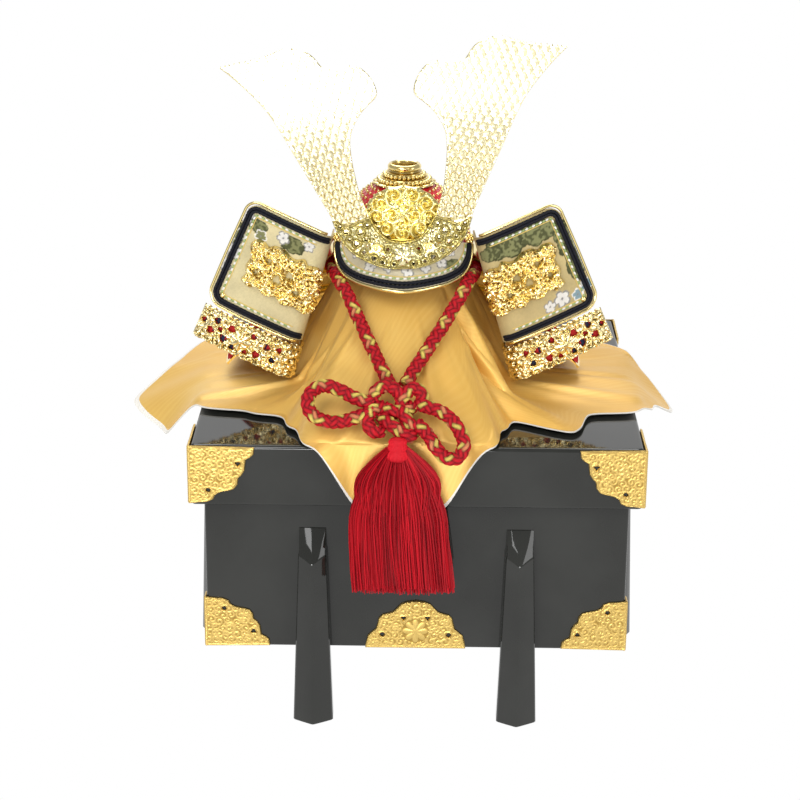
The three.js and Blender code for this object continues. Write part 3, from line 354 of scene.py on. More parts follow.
def rumple(x, y, pitch, seed):
    """Smooth noise from -1 to 1: random heights on a lattice of that pitch, blended between corners."""
    rows = np.random.default_rng(seed).uniform(-1, 1, (64, 64))
    gx, gy = np.asarray(x) / pitch, np.asarray(y) / pitch
    ix, iy = np.floor(gx).astype(int), np.floor(gy).astype(int)
    fx, fy = smooth(gx - ix), smooth(gy - iy)
    at = lambda a, b: rows[a % 64, b % 64]
    return mix(mix(at(ix, iy), at(ix + 1, iy), fx), mix(at(ix, iy + 1), at(ix + 1, iy + 1), fx), fy)


# Flat plates of any outline

def inside(points, loops):
    """Even-odd test: a point is inside if a line from it crosses the loops an odd number of times."""
    hit = np.zeros(len(points), int)
    x, y = points[:, :1], points[:, 1:]
    for loop in loops:
        a, b = loop, np.roll(loop, -1, 0)
        spans = (a[:, 1] > y) != (b[:, 1] > y)
        rise = np.where(b[:, 1] == a[:, 1], 1e-12, b[:, 1] - a[:, 1])
        hit += (spans & (x < (b[:, 0] - a[:, 0]) * (y - a[:, 1]) / rise + a[:, 0])).sum(1)
    return hit % 2 == 1


def edge_distance(points, loops):
    """Distance from each point to the nearest stretch of the loops, reckoned for a batch of points at a time."""
    best, batch = np.full(len(points), 1e9), 4000
    for loop in loops:
        d = np.roll(loop, -1, 0) - loop
        for start in range(0, len(points), batch):
            part = slice(start, start + batch)
            q = points[part, None] - loop
            t = np.clip((q * d).sum(-1) / np.maximum((d * d).sum(-1), 1e-12), 0, 1)
            best[part] = np.minimum(best[part], np.linalg.norm(q - d * t[..., None], axis=-1).min(1))
    return best


def tiling(loops, pitch):
    """Triangles between the outlines: a hexagonal grid of points is joined with the outlines' own."""
    low, high = loops[0].min(0), loops[0].max(0)
    gx, gy = np.meshgrid(np.arange(low[0], high[0], pitch), np.arange(low[1], high[1], pitch * 0.866))
    gx = gx + (np.arange(gx.shape[0]) % 2)[:, None] * pitch / 2
    spots = np.stack([gx.ravel(), gy.ravel()], -1)
    spots = spots[inside(spots, loops)]
    spots = spots[edge_distance(spots, loops) > pitch * 0.5]
    every = np.vstack(loops + [spots])
    edges, start = [], 0
    for loop in loops:
        k = np.arange(len(loop))
        edges.append(np.stack([k, (k + 1) % len(loop)], -1) + start)
        start += len(loop)
    flat, _, faces, *_ = delaunay_2d_cdt([tuple(p) for p in every], [tuple(map(int, e)) for e in np.vstack(edges)],
                                         [], 0, 1e-5)
    flat = np.array([tuple(p) for p in flat])
    faces = np.array([f for f in faces if len(f) == 3])
    faces = faces[inside(flat[faces].mean(1), loops)]
    a, b, c = (flat[faces[:, k]] for k in range(3))
    turn = (b - a)[:, 0] * (c - a)[:, 1] - (b - a)[:, 1] * (c - a)[:, 0]
    faces = np.where((turn < 0)[:, None], faces[:, ::-1], faces)
    used = np.unique(faces)
    renumber = np.full(len(flat), -1)
    renumber[used] = np.arange(len(used))
    return flat[used], renumber[faces]


def plate(loops, pitch, front, back, place):
    """A plate inside the outlines and outside their holes, its back tiled six times as coarsely as its
    face; front(x, y, edge) gives the height and shade, and place(x, y, height) the spot."""
    loops = [evenly(np.vstack([loop, loop[:1]]), pitch)[:-1] for loop in loops]
    flat, faces = tiling(loops, pitch)
    rear, rear_faces = tiling(loops, pitch * 6)
    sides = np.vstack([faces[:, [0, 1]], faces[:, [1, 2]], faces[:, [2, 0]]])
    key = np.sort(sides, 1)
    _, where, count = np.unique(key[:, 0] * len(flat) + key[:, 1], return_index=True, return_counts=True)
    rim = sides[where[count == 1]]
    below = np.zeros(len(flat), int)
    ring = np.unique(rim)
    below[ring] = np.linalg.norm(flat[ring, None] - rear[None], axis=-1).argmin(1)
    x, y = flat[:, 0], flat[:, 1]
    n = len(flat)
    height, shade = front(x, y, edge_distance(flat, loops))
    top = place(x, y, height)
    under = place(rear[:, 0], rear[:, 1], np.full(len(rear), float(back)))
    walls = np.stack([rim[:, 1], rim[:, 0], below[rim[:, 0]] + n, below[rim[:, 1]] + n], -1)
    part = shape(np.vstack([top, under]), [faces, rear_faces[:, ::-1] + n, walls],
                 [flat[faces], rear[rear_faces][:, ::-1], np.zeros(walls.shape + (2,))])
    # The face takes its painted shade from front(); the back gets a half painted shade.
    part["dye"] = np.repeat(np.concatenate([shade, np.full(len(rear), 0.5)])[:, None], 3, 1)
    return outward(part)


def spline_2d(points, count):
    """Uniform Catmull-Rom curve through flat points."""
    p = np.asarray(points, float)
    p = np.vstack([p[0], p, p[-1]])
    t = np.linspace(0, 1, count) * (len(p) - 3)
    k = np.clip(np.floor(t).astype(int), 0, len(p) - 4)
    w = (t - k)[:, None]
    a, b, c, d = p[k], p[k + 1], p[k + 2], p[k + 3]
    m1, m2 = (c - a) / 2, (d - b) / 2
    return b + m1 * w + (3 * (c - b) - 2 * m1 - m2) * w ** 2 + (2 * (b - c) + m1 + m2) * w ** 3


def circle(x, y, radius):
    """A round outline of twelve points."""
    return spots_of(x + radius * np.cos(turns(12)), y + radius * np.sin(turns(12)))


# Ornament heights

def scrolls(x, y, rows, winds):
    """The highest of many scrolls from 0 to 1, one row each (x, y, size, hand, start): a ridge where the
    radius grows evenly with the angle, fading at its rim."""
    height = np.zeros_like(x)
    for cx, cy, size, hand, start in rows:
        dx, dy = x - cx, y - cy
        r = np.hypot(dx, dy) / size
        angle = np.arctan2(dy, dx) * hand / TURN + start
        ridge = 0.5 + 0.5 * np.cos(TURN * (r * winds - angle))
        height = np.maximum(height, np.where(r < 1, (0.12 + 0.88 * ridge) * np.sqrt(np.clip(1 - r ** 2, 0, 1)), 0))
    return height


def scroll_rows(low, high, pitch, size, seed):
    """Scroll centres on a shaken hexagonal lattice, of mixed sizes, hands and starts."""
    dice = np.random.default_rng(seed)
    rows = []
    for j, cy in enumerate(np.arange(low[1], high[1] + pitch, pitch * 0.85)):
        for cx in np.arange(low[0] + (j % 2) * pitch / 2, high[0] + pitch, pitch):
            shake = dice.uniform(-0.22, 0.22, 2) * pitch
            rows.append((cx + shake[0], cy + shake[1], size * dice.uniform(0.8, 1.2),
                         dice.choice([-1, 1]), dice.uniform(0, 1)))
    return rows


def flower(x, y, cx, cy, size, petals, turn=0.0):
    """Petals from 0 to 1: the edge radius is the size less a notch between petals; round bosses inside."""
    dx, dy = x - cx, y - cy
    r = np.hypot(dx, dy) / size
    wave = np.abs(np.cos((np.arctan2(dy, dx) - turn) * petals / 2))
    edge = 0.55 + 0.45 * wave ** 0.6
    petal = np.sqrt(np.clip(1 - (r / edge) ** 2, 0, 1)) * (0.55 + 0.45 * wave)
    return np.where(r < 0.25, np.maximum(petal, np.sqrt(np.clip(1 - (r / 0.3) ** 2, 0, 1))), petal)


# Node trees

class Signal:
    """A value in a node tree that can be reckoned with."""

    def __init__(self, tree, socket):
        self.tree, self.socket = tree, socket

    def math(self, operation, *others):
        """A sum on this value and the others."""
        node = self.tree.nodes.new("ShaderNodeMath")
        node.operation = operation
        for k, value in enumerate((self,) + others):
            link(self.tree, value, node.inputs[k])
        return Signal(self.tree, node.outputs[0])

    def __add__(self, other): return self.math("ADD", other)
    def __mul__(self, other): return self.math("MULTIPLY", other)
    def __sub__(self, other): return self.math("SUBTRACT", other)
    def __truediv__(self, other): return self.math("DIVIDE", other)
    __radd__ = __add__
    def sin(self): return self.math("SINE")
    def abs(self): return self.math("ABSOLUTE")
    def fract(self): return self.math("FRACT")
    def floor(self): return self.math("FLOOR")
    def power(self, other): return self.math("POWER", other)

    def ramp(self, low, high, to_low=0.0, to_high=1.0):
        """A soft step between two values."""
        node = self.tree.nodes.new("ShaderNodeMapRange")
        node.interpolation_type = "SMOOTHSTEP"
        for k, value in enumerate((self, low, high, to_low, to_high)):
            link(self.tree, value, node.inputs[k])
        return Signal(self.tree, node.outputs[0])


def link(tree, value, socket):
    """A value into a socket: by a link from another socket, or as the socket's own constant."""
    if isinstance(value, Signal):
        value = value.socket
    if isinstance(value, bpy.types.NodeSocket):
        tree.links.new(value, socket)
    else:
        socket.default_value = value


def node(tree, kind, output=0, settings=None, **inputs):
    """One output of a new node with its settings and inputs."""
    made = tree.nodes.new("ShaderNode" + kind)
    for key, value in (settings or {}).items():
        setattr(made, key, value)
    for key, value in inputs.items():
        link(tree, value, made.inputs[key.replace("_", " ")])
    return Signal(tree, made.outputs[output])


def split(tree, vector):
    """A vector's three numbers."""
    made = tree.nodes.new("ShaderNodeSeparateXYZ")
    link(tree, vector, made.inputs[0])
    return [Signal(tree, made.outputs[k]) for k in range(3)]


def combine(tree, x, y, z=0.0):
    """A vector from its numbers."""
    made = tree.nodes.new("ShaderNodeCombineXYZ")
    for k, value in enumerate((x, y, z)):
        link(tree, value, made.inputs[k])
    return Signal(tree, made.outputs[0])


def noise(tree, vector, scale, detail):
    """Cloudy values about 0.5."""
    return node(tree, "TexNoise", Vector=vector, Scale=scale, Detail=detail)


def blend(tree, a, b, share):
    """Colour a where the share is 0, b where it is 1."""
    made = tree.nodes.new("ShaderNodeMix")
    made.data_type = "RGBA"
    link(tree, share, made.inputs["Factor"])
    for value, socket in ((a, made.inputs[6]), (b, made.inputs[7])):
        link(tree, (*value, 1.0) if isinstance(value, tuple) and len(value) == 3 else value, socket)
    return Signal(tree, made.outputs[2])


def effect(name, inputs, outputs, make):
    """A shader node group with named inputs and outputs; make(tree, ins) returns the outputs' values."""
    tree = bpy.data.node_groups.new(name, "ShaderNodeTree")
    for key, value in inputs.items():
        kind = "NodeSocketVector" if value is None else "NodeSocketFloat"
        socket = tree.interface.new_socket(name=key, in_out="INPUT", socket_type=kind)
        if value is not None:
            socket.default_value = value
    for key in outputs:
        tree.interface.new_socket(name=key, in_out="OUTPUT", socket_type="NodeSocketFloat")
    ins = tree.nodes.new("NodeGroupInput")
    outs = tree.nodes.new("NodeGroupOutput")
    values = make(tree, {key: Signal(tree, ins.outputs[key]) for key in inputs})
    for key, value in zip(outputs, values):
        link(tree, value, outs.inputs[key])
    return tree


def use(tree, group, **inputs):
    """The outputs of an effect placed in a tree with its own values."""
    made = tree.nodes.new("ShaderNodeGroup")
    made.node_tree = group
    for key, value in inputs.items():
        link(tree, value, made.inputs[key.replace("_", " ")])
    return {s.name: Signal(tree, s) for s in made.outputs}


def make_wear(tree, ins):
    """Soft blotches from a coarse noise, and fine dust where two noises meet."""
    coarse = noise(tree, ins["Vector"], ins["Scale"], 4.0)
    fine = noise(tree, ins["Vector"], ins["Scale"] * 9.0, 2.0)
    return coarse.ramp(0.35, 0.7), (coarse * fine).ramp(0.26, 0.36)


def make_weave(tree, ins):
    """Threads over and under: two rows of round bars, the higher one taken in a chequer."""
    x, y, _ = split(tree, ins["Vector"])
    x, y = x / ins["Pitch"], y / ins["Pitch"]
    bars = lambda a: (a * math.pi).sin().abs()
    check = ((x.floor() + y.floor()) * 0.5).fract() * 2.0
    height = bars(x) * (0.4 + check * 0.6) + bars(y) * (check * -0.6 + 1.0)
    return height, check


def make_watered(tree, ins):
    """Watered silk: lines along the cloth's thread, their phase shaken by long noises, which gives streaks
    and long loops, shown in patches; and fine ribs."""
    x, y, _ = split(tree, ins["Vector"])
    along, across = (x + y) * 0.7071, (y - x) * 0.7071
    shake = noise(tree, combine(tree, along * 0.006, across * 0.022), 1.0, 2.0)
    fine = noise(tree, combine(tree, along * 0.02 + 7.0, across * 0.30), 1.0, 3.0)
    bands = (across * 1.5 + shake * 46.0 + fine * 4.0).sin() * 0.5 + 0.5
    patches = noise(tree, combine(tree, along * 0.016, across * 0.03 + 3.0), 1.0, 2.0).ramp(0.32, 0.62, 0.15, 1.0)
    ribs = (across * 6.0).sin() * 0.5 + 0.5
    return bands.power(1.3) * patches, ribs


WEAR = effect("surface wear", {"Vector": None, "Scale": 20.0}, ["Blotch", "Dust"], make_wear)
WEAVE = effect("thread weave", {"Vector": None, "Pitch": 0.5}, ["Height", "Check"], make_weave)
WATERED = effect("watered silk", {"Vector": None}, ["Band", "Rib"], make_watered)


def finish(name, color, roughness, metallic=0.0, **sockets):
    """A material with its Principled shader; returns the material, its tree and the shader's sockets."""
    material = bpy.data.materials.new(name)
    material.use_nodes = True
    tree = material.node_tree
    shader = tree.nodes["Principled BSDF"]
    shader.inputs["Base Color"].default_value = (*color, 1.0)
    shader.inputs["Roughness"].default_value = roughness
    shader.inputs["Metallic"].default_value = metallic
    for key, value in sockets.items():
        shader.inputs[key.replace("_", " ")].default_value = value
    return material, tree, shader.inputs


def object_spot(tree):
    """The spot in the object's own space, in metres."""
    return node(tree, "TexCoord", "Object")


def own_uv(tree):
    """The spot in the piece's UV."""
    return node(tree, "TexCoord", "UV")


def bump(tree, height, strength, distance, sockets):
    """The height drives a Bump node, which feeds the shader's Normal."""
    made = node(tree, "Bump", Strength=strength, Distance=distance * MM, Height=height)
    link(tree, made, sockets["Normal"])


def lacquer(name, color, roughness=0.09):
    """Lacquer under a clear coat: a dull body, faint lighter blotches, a little dust and a slight wave."""
    material, tree, sockets = finish(name, color, roughness, Specular_IOR_Level=0.0, Coat_Weight=1.0,
                                     Coat_Roughness=0.06)
    worn = use(tree, WEAR, Vector=object_spot(tree), Scale=14.0)
    paler = tuple(c * 1.25 + 0.004 for c in color)
    link(tree, blend(tree, color, paler, worn["Blotch"]), sockets["Base Color"])
    link(tree, worn["Dust"] * 0.10 + roughness, sockets["Roughness"])
    bump(tree, noise(tree, object_spot(tree), 30.0, 2.0), 0.05, 0.6, sockets)
    return material


def gold(name, color, roughness, painted_dark, scale=90.0, strength=0.2, shade=0.25):
    """Gilt metal: darkened towards its shade tone as painted shade where its point colour is low, blotched, with a fine
    grain in the bump.
    """
    material, tree, sockets = finish(name, color, roughness, 1.0)
    spot = object_spot(tree)
    worn = use(tree, WEAR, Vector=spot, Scale=scale)
    # The point colour here is painted shade: where it is low, the metal is darkened to its shade tone.
    deep = node(tree, "Attribute", 2, {"attribute_name": "dye"})
    lit = deep * (worn["Blotch"] * -shade + 1.0)
    link(tree, blend(tree, painted_dark, color, lit), sockets["Base Color"])
    link(tree, worn["Blotch"] * 0.08 + deep * -0.18 + (roughness + 0.18), sockets["Roughness"])
    bump(tree, noise(tree, spot, scale * 9.0, 3.0), strength, 0.3, sockets)
    return material


def cloth(name, color, roughness, pitch, strength, sheen=0.3, tint=0.25):
    """Woven cloth: thread bumps on its own UV in millimetres, with their hollows painted darker as shade; with no
    colour given, it takes its point colour's.
    """
    material, tree, sockets = finish(name, color or (0.5, 0.5, 0.5), roughness, Specular_IOR_Level=0.22)
    sockets["Sheen Weight"].default_value = sheen
    woven = use(tree, WEAVE, Vector=own_uv(tree), Pitch=pitch)
    base = (*color, 1.0) if color else node(tree, "Attribute", 0, {"attribute_name": "dye"})
    # The hollows of the weave are painted darker by the tint, as shade.
    painted_dark = node(tree, "HueSaturation", Value=1.0 - tint, Color=base)
    link(tree, blend(tree, painted_dark, base, woven["Height"].ramp(0.2, 1.3)), sockets["Base Color"])
    bump(tree, woven["Height"], strength, pitch * 0.5, sockets)
    return material


def satin():
    """Watered satin: gold with paler streaks, a soft sheen and fine ribs."""
    deep, pale = (0.76, 0.445, 0.09), (0.97, 0.73, 0.25)
    material, tree, sockets = finish("watered satin", deep, 0.42, 0.32, Sheen_Weight=0.05, Sheen_Roughness=0.4)
    wet = use(tree, WATERED, Vector=own_uv(tree))
    worn = use(tree, WEAR, Vector=object_spot(tree), Scale=7.0)
    link(tree, blend(tree, deep, pale, wet["Band"] * 0.12 + worn["Blotch"] * 0.35), sockets["Base Color"])
    link(tree, wet["Band"] * -0.05 + 0.44, sockets["Roughness"])
    bump(tree, wet["Rib"] * 0.8 + wet["Band"] * 0.1, 0.10, 0.25, sockets)
    return material


BLACK = lacquer("black lacquer", (0.013, 0.0135, 0.0115))
RED = lacquer("red lacquer", (0.60, 0.022, 0.030), 0.18)
# Each gold's second colour is the tone its painted shade darkens it to, in hollows and chased lines.
GILT = gold("matte gilt", (0.70, 0.49, 0.15), 0.36, (0.36, 0.22, 0.05), 60.0, 0.2, 0.1)
CAST = gold("cast gold", (0.96, 0.80, 0.40), 0.16, (0.30, 0.18, 0.035), 90.0, 0.2, 0.15)
RELIEF = gold("relief gold", (0.96, 0.83, 0.35), 0.18, (0.42, 0.28, 0.04), 90.0, 0.15, 0.12)
BRIGHT = gold("bright gold", (0.96, 0.78, 0.34), 0.14, (0.30, 0.18, 0.03), 60.0, 0.08, 0.15)
# The blades' gold is pale gold lightened further towards white as painted glare, and its shade tone is lighter too.
GLARE_GOLD = gold("pale gold with painted glare", (0.99, 0.90, 0.58), 0.24, (0.40, 0.28, 0.07), 60.0, 0.08, 0.1)
LACE = gold("lace gold", (0.93, 0.79, 0.44), 0.16, (0.16, 0.11, 0.03), 90.0, 0.2, 0.15)
BRASS = gold("green brass", (0.93, 0.85, 0.48), 0.17, (0.24, 0.19, 0.05), 90.0, 0.2, 0.15)
SATIN = satin()
SATIN_BACK = cloth("satin back", (0.88, 0.85, 0.78), 0.7, 0.5, 0.2)
BROCADE = cloth("brocade", None, 0.75, 0.55, 0.6, 0.05, 0.22)
NAVY = cloth("navy cord", (0.006, 0.0065, 0.012), 0.6, 0.8, 0.5, 0.0)
THREAD = cloth("coloured thread", None, 0.6, 0.5, 0.35, 0.0, 0.22)
WOOD = cloth("stand wood", (0.30, 0.19, 0.10), 0.6, 1.2, 0.2, 0.0)


# Chest

def rounded_ring(half_x, half_y, radius, z):
    """One ring of a box with rounded corners: quarter circles of six steps about four centres."""
    turn = (np.arange(4)[:, None] * 0.25 + np.arange(7) / 6 * 0.25) * TURN
    sx, sy = (np.sign(wave(turn.mean(1)))[:, None] for wave in (np.cos, np.sin))
    x = sx * (half_x - radius) + radius * np.cos(turn)
    y = sy * (half_y - radius) + radius * np.sin(turn)
    return spots_of(x.ravel() + CHEST_X, y.ravel(), z)


def box_of(profile):
    """Rings of a rounded box for each row: half width, half depth, corner radius, height."""
    return rings(np.stack([rounded_ring(*row) for row in profile]))


def rounded_edge(half, radius, z, up, inset, steps=5):
    """Rows that turn a wall of a box over its edge by a quarter circle."""
    return [(half[0] - inset * (1 - math.cos(t)), half[1] - inset * (1 - math.cos(t)), radius,
             z - up * inset * (1 - math.sin(t))) for t in np.linspace(0, math.pi / 2, steps)]


def build_chest():
    """Two rounded boxes open to each other, each a profile that runs from inside over the rim to outside."""
    row = lambda half, less, radius, z: (half[0] - less, half[1] - less, radius, z)
    half, base, top = BOX_HALF, BOX_FOOT, 205.65
    body = [(6, 6, 3, base + 8), row(half, 8.2, 2, base + 8), row(half, 8, 2, base + 8.6), row(half, 8, 2, top - 0.4),
            row(half, 7.6, 2, top), row(half, 0.8, 2, top), (*half, 2.2, top - 0.8), (*half, 2.2, top - 2.5),
            (*half, 2.2, base + 3.5)]
    body += rounded_edge(half, 2.2, base, -1, 1.6) + [row(half, 5, 2, base), (6, 6, 3, base)]
    put("chest_box", box_of(body), BLACK, ["chest_body"], 50)
    half, low = LID_HALF, 169.0
    lid = [(6, 6, 3, LID_TOP - 8), row(half, 9, 2, LID_TOP - 8), row(half, 8, 2, LID_TOP - 9),
           row(half, 8, 2, low + 0.6), row(half, 7.4, 2, low), row(half, 0.8, 2.6, low), (*half, 3, low + 0.8),
           (*half, 3, low + 2.5), (*half, 3, LID_TOP - 4.5)]
    lid += rounded_edge(half, 3, LID_TOP, 1, 2.6, 7) + [row(half, 5, 2, LID_TOP), (6, 6, 3, LID_TOP)]
    put("chest_cap_lid", box_of(lid), BLACK, ["chest_lid"], 50)


def leg():
    """A ridged leg: a five-cornered section with a softened ridge, narrowing upwards to a sloped top."""
    across = np.array([-1, -1, -0.94, -0.55, -0.08, 0, 0.08, 0.55, 0.94, 1, 1])
    out = np.array([0, 0.52, 0.60, 0.78, 0.985, 1.0, 0.985, 0.78, 0.60, 0.52, 0])
    shoulder, top, chevron = 132.0, 148.5, 5.0
    level = shoulder - chevron * (1 - np.abs(across))
    rows = []
    for share, inset in ((0, 0.6), (0.004, 0.0), (0.35, 0.0), (0.7, 0.0), (0.985, 0.0), (1.0, 0.5)):
        foot, depth = mix(14.5, 10.0, share), mix(19.0, 14.5, share)
        rows.append(spots_of(across * (foot - inset), -out * (depth - inset), share * level))
    for share in (0.5, 1.0):
        rows.append(spots_of(across * 9.6, -out * mix(14.0, 0.4, share), mix(level, top, share)))
    rows = np.stack(rows)
    rows[:, [0, -1], 1] = -0.02
    rows[-2, [0, -1], 2] = top - 0.5
    return rings(rows)


def build_legs():
    """The leg turned about the upright and set against each wall of the box."""
    w, d = BOX_HALF[0] + GAP, BOX_HALF[1] + GAP
    part, side = leg(), 74.3
    places = {"front_left": (-side, -d, 0), "front_right": (side, -d, 0), "back_left": (-side, d, 180),
              "back_right": (side, d, 180), "left": (-w, 0, -90), "right": (w, 0, 90)}
    for name, (x, y, turn) in places.items():
        c, s = math.cos(math.radians(turn)), math.sin(math.radians(turn))
        points = part["points"] @ np.array([[c, s, 0], [-s, c, 0], [0, 0, 1]]) + [x + CHEST_X, y, 0]
        put("lacquered_leg_" + name, dict(part, points=points), BLACK, ["leg_" + name], 28)


# The lobed inner edge of a corner fitting, as shares of its width and height from the corner, and the
# half edge of the centre fitting from its outer end
CORNER_LOBES = [(1, 0.02), (0.985, 0.14), (0.93, 0.20), (0.865, 0.24), (0.855, 0.33), (0.845, 0.42), (0.80, 0.50),
                (0.745, 0.56), (0.735, 0.66), (0.68, 0.745), (0.60, 0.775), (0.52, 0.79), (0.445, 0.815),
                (0.385, 0.855), (0.35, 0.93), (0.26, 0.975), (0.12, 0.985), (0.02, 1)]
CENTRE_LOBES = [(1, 0), (0.985, 0.12), (0.95, 0.26), (0.87, 0.33), (0.79, 0.40), (0.755, 0.52), (0.735, 0.62),
                (0.66, 0.70), (0.56, 0.725), (0.45, 0.76), (0.37, 0.84), (0.29, 0.93), (0.17, 0.975), (0, 1)]
FITTING_SHEET = 1.2


def heart(x, y, size):
    """A pierced boar's eye: the sine cubed across, and a cosine less its second harmonic upwards."""
    t = np.linspace(0, TURN, 20, endpoint=False)
    return spots_of(x + size * np.sin(t) ** 3, y + size * 0.85 * (np.cos(t) - 0.38 * np.cos(2 * t) - 0.15))


def chased(rows, width, height, bloom=None):
    """A fitting's face: a raised rim along its edge, and low scrolls and perhaps a flower within."""
    fine = scroll_rows((-width, -height), (width, height), 5.6, 4.3, 91)

    def front(x, y, edge):
        """Height and shade by the distance from the edge and by the pattern."""
        field = smooth((edge - 1.6) / 0.8)
        relief = np.maximum(scrolls(x, y, rows, 2.0), 0.9 * scrolls(x, y, fine, 1.6))
        if bloom:
            relief = np.where(np.hypot(x - bloom[0], y - bloom[1]) < bloom[2], 1.2 * flower(x, y, *bloom, 8), relief)
        # The field between the scrolls is painted dark as shade; the rim and the scrolls stay light.
        shade = 1 - 0.9 * field * (1 - smooth((relief - 0.15) / 0.35))
        sheet = FITTING_SHEET * smooth(edge / 0.35) * 0.35 + FITTING_SHEET * 0.65
        return sheet + 0.55 * bell(edge, 0.9, 0.55) + (0.5 * relief - 0.15) * field, shade

    return front


def leaf(width, height, pitch, place):
    """One half of a corner fitting, from the chest's edge to its lobed inner edge."""
    lobes = [(a * width, -d * height) for a, d in CORNER_LOBES]
    holes = [heart(0.74 * width, -0.30 * height, 1.9), circle(0.28 * width, -0.77 * height, 1.5)]
    rows = [(0.36 * width, -0.36 * height, 6.2, 1, 0.1), (0.14 * width, -0.15 * height, 4.6, -1, 0.4),
            (0.58 * width, -0.52 * height, 4.2, 1, 0.5), (0.62 * width, -0.15 * height, 4.4, 1, 0.7)]
    outline = [(-FITTING_SHEET, 0), *lobes, (-FITTING_SHEET, -height)]
    return plate([outline] + holes, pitch, chased(rows, width, height), 0.02, place)


def build_fittings():
    """A corner fitting has a leaf on each of its two walls; the leaves that face the front are tiled finer."""
    corners = {"front_left": (-1, -1), "front_right": (1, -1), "back_right": (1, 1), "back_left": (-1, 1)}
    fine, coarse = 0.60, 0.85
    for kind, (width, height), half, z, up in (("lid", (46, 43.5), LID_HALF, LID_TOP, 1),
                                               ("body", (46, 39), BOX_HALF, BOX_FOOT, -1)):
        facing = lambda x, y, h: spots_of(x, -h, y * up)
        front, rear = leaf(width, height, fine, facing), leaf(width, height, coarse, facing)
        side = leaf(width, height, coarse, lambda x, y, h: spots_of(-h, x, y * up))
        for name, (sx, sy) in corners.items():
            spot = [sx * (half[0] + GAP) + CHEST_X, sy * (half[1] + GAP), z]
            leaves = [outward(dict(part, points=part["points"] * [-sx, -sy, 1] + spot))
                      for part in (front if sy < 0 else rear, side)]
            put(f"chased_{kind}_corner_{name}", join(*leaves), GILT, [f"{kind}_fitting_{name}"], 30)
    half, height = 36.5, 38
    outline = [(-a * half, u * height) for a, u in CENTRE_LOBES]
    outline += [(a * half, u * height) for a, u in CENTRE_LOBES[::-1][1:]]
    holes = [circle(s * 0.66 * half, 0.28 * height, 1.7) for s in (-1, 1)]
    holes += [heart(s * 0.24 * half, 0.64 * height, 1.7) for s in (-1, 1)]
    rows = [(s * a * half, u * height, size, s, start) for s in (-1, 1) for a, u, size, start in (
        (0.40, 0.40, 5.0, 0.1), (0.62, 0.52, 4.2, 0.5), (0.84, 0.14, 4.0, 0.3))]
    front = chased(rows, half, height, (0, 0.36 * height, 9.5))
    place = lambda x, y, h: spots_of(x + CHEST_X, -BOX_HALF[1] - GAP - h, y + BOX_FOOT)
    put("chased_centre_fitting", plate([outline] + holes, 0.62, front, 0.02, place), GILT,
        ["body_fitting_front_centre"], 30)


# Stand and cloth

def build_stand():
    """A round block with a post, turned."""
    peak = 356.5
    profile = [(0.5, LID_TOP + GAP), (43.5, LID_TOP + GAP), (45, LID_TOP + 2), (45, 298.5), (43.5, 300), (13.5, 300),
               (12, 301.5), (12, peak - 1), (11, peak), (0.5, peak)]
    put("wooden_stand", turned(profile, 48), WOOD, ["helmet_stand"], 40)


# The cloth's folds from the front towards +x: turn, shoulder, lift, hem, rise, as shares of the reach
# and of the stand's height
CLOTH_REACH = 207.0
CLOTH_RISE = 86.0
FOLDS = np.array([
    (0, 0.725, 0.040, 0.762, -0.98), (10, 0.736, 0.040, 0.770, -0.53), (22, 0.780, 0.040, 0.815, 0.025),
    (31, 0.560, 0.30, 0.690, 0.035), (38, 0.400, 0.34, 0.640, 0.030), (45, 0.540, 0.16, 0.850, 0.030),
    (57, 0.400, 0.07, 0.790, 0.030), (66, 0.400, 0.09, 0.925, 0.030), (78, 0.420, 0.07, 0.930, -0.10),
    (90, 0.440, 0.11, 1.000, -0.30), (101, 0.440, 0.07, 0.920, -0.08), (108, 0.420, 0.12, 0.900, 0.030),
    (120, 0.420, 0.07, 0.840, 0.030), (134, 0.420, 0.12, 0.720, 0.030), (157, 0.600, 0.080, 0.815, 0.025),
    (180, 0.600, 0.080, 0.762, -0.70), (203, 0.600, 0.080, 0.815, 0.025), (226, 0.420, 0.12, 0.720, 0.030),
    (244, 0.420, 0.07, 0.860, 0.010), (259, 0.440, 0.12, 0.890, -0.06), (270, 0.440, 0.07, 1.000, -0.26),
    (285, 0.420, 0.10, 0.890, -0.36), (297, 0.400, 0.07, 0.815, 0.030), (309, 0.440, 0.12, 0.690, 0.030),
    (319, 0.400, 0.36, 0.638, 0.030), (328, 0.560, 0.30, 0.700, 0.035), (338, 0.780, 0.040, 0.815, 0.025),
    (350, 0.736, 0.040, 0.770, -0.53)])
# Shares of the cloth's run where the cone over the post and the run to the shoulder end
TENT_END, SHOULDER_END = 0.34, 0.74
STAND_PEAK, STAND_RIM, RIM_LEVEL = 356.9, 46.4, 301.05


def lid_edge(angle):
    """Run from the axis to the lid's edge: the nearer of the side and the front or back."""
    side = LID_HALF[0] + np.sign(np.sin(angle)) * CHEST_X
    return np.minimum(side / np.maximum(np.abs(np.sin(angle)), 1e-6),
                      LID_HALF[1] / np.maximum(np.abs(np.cos(angle)), 1e-6))


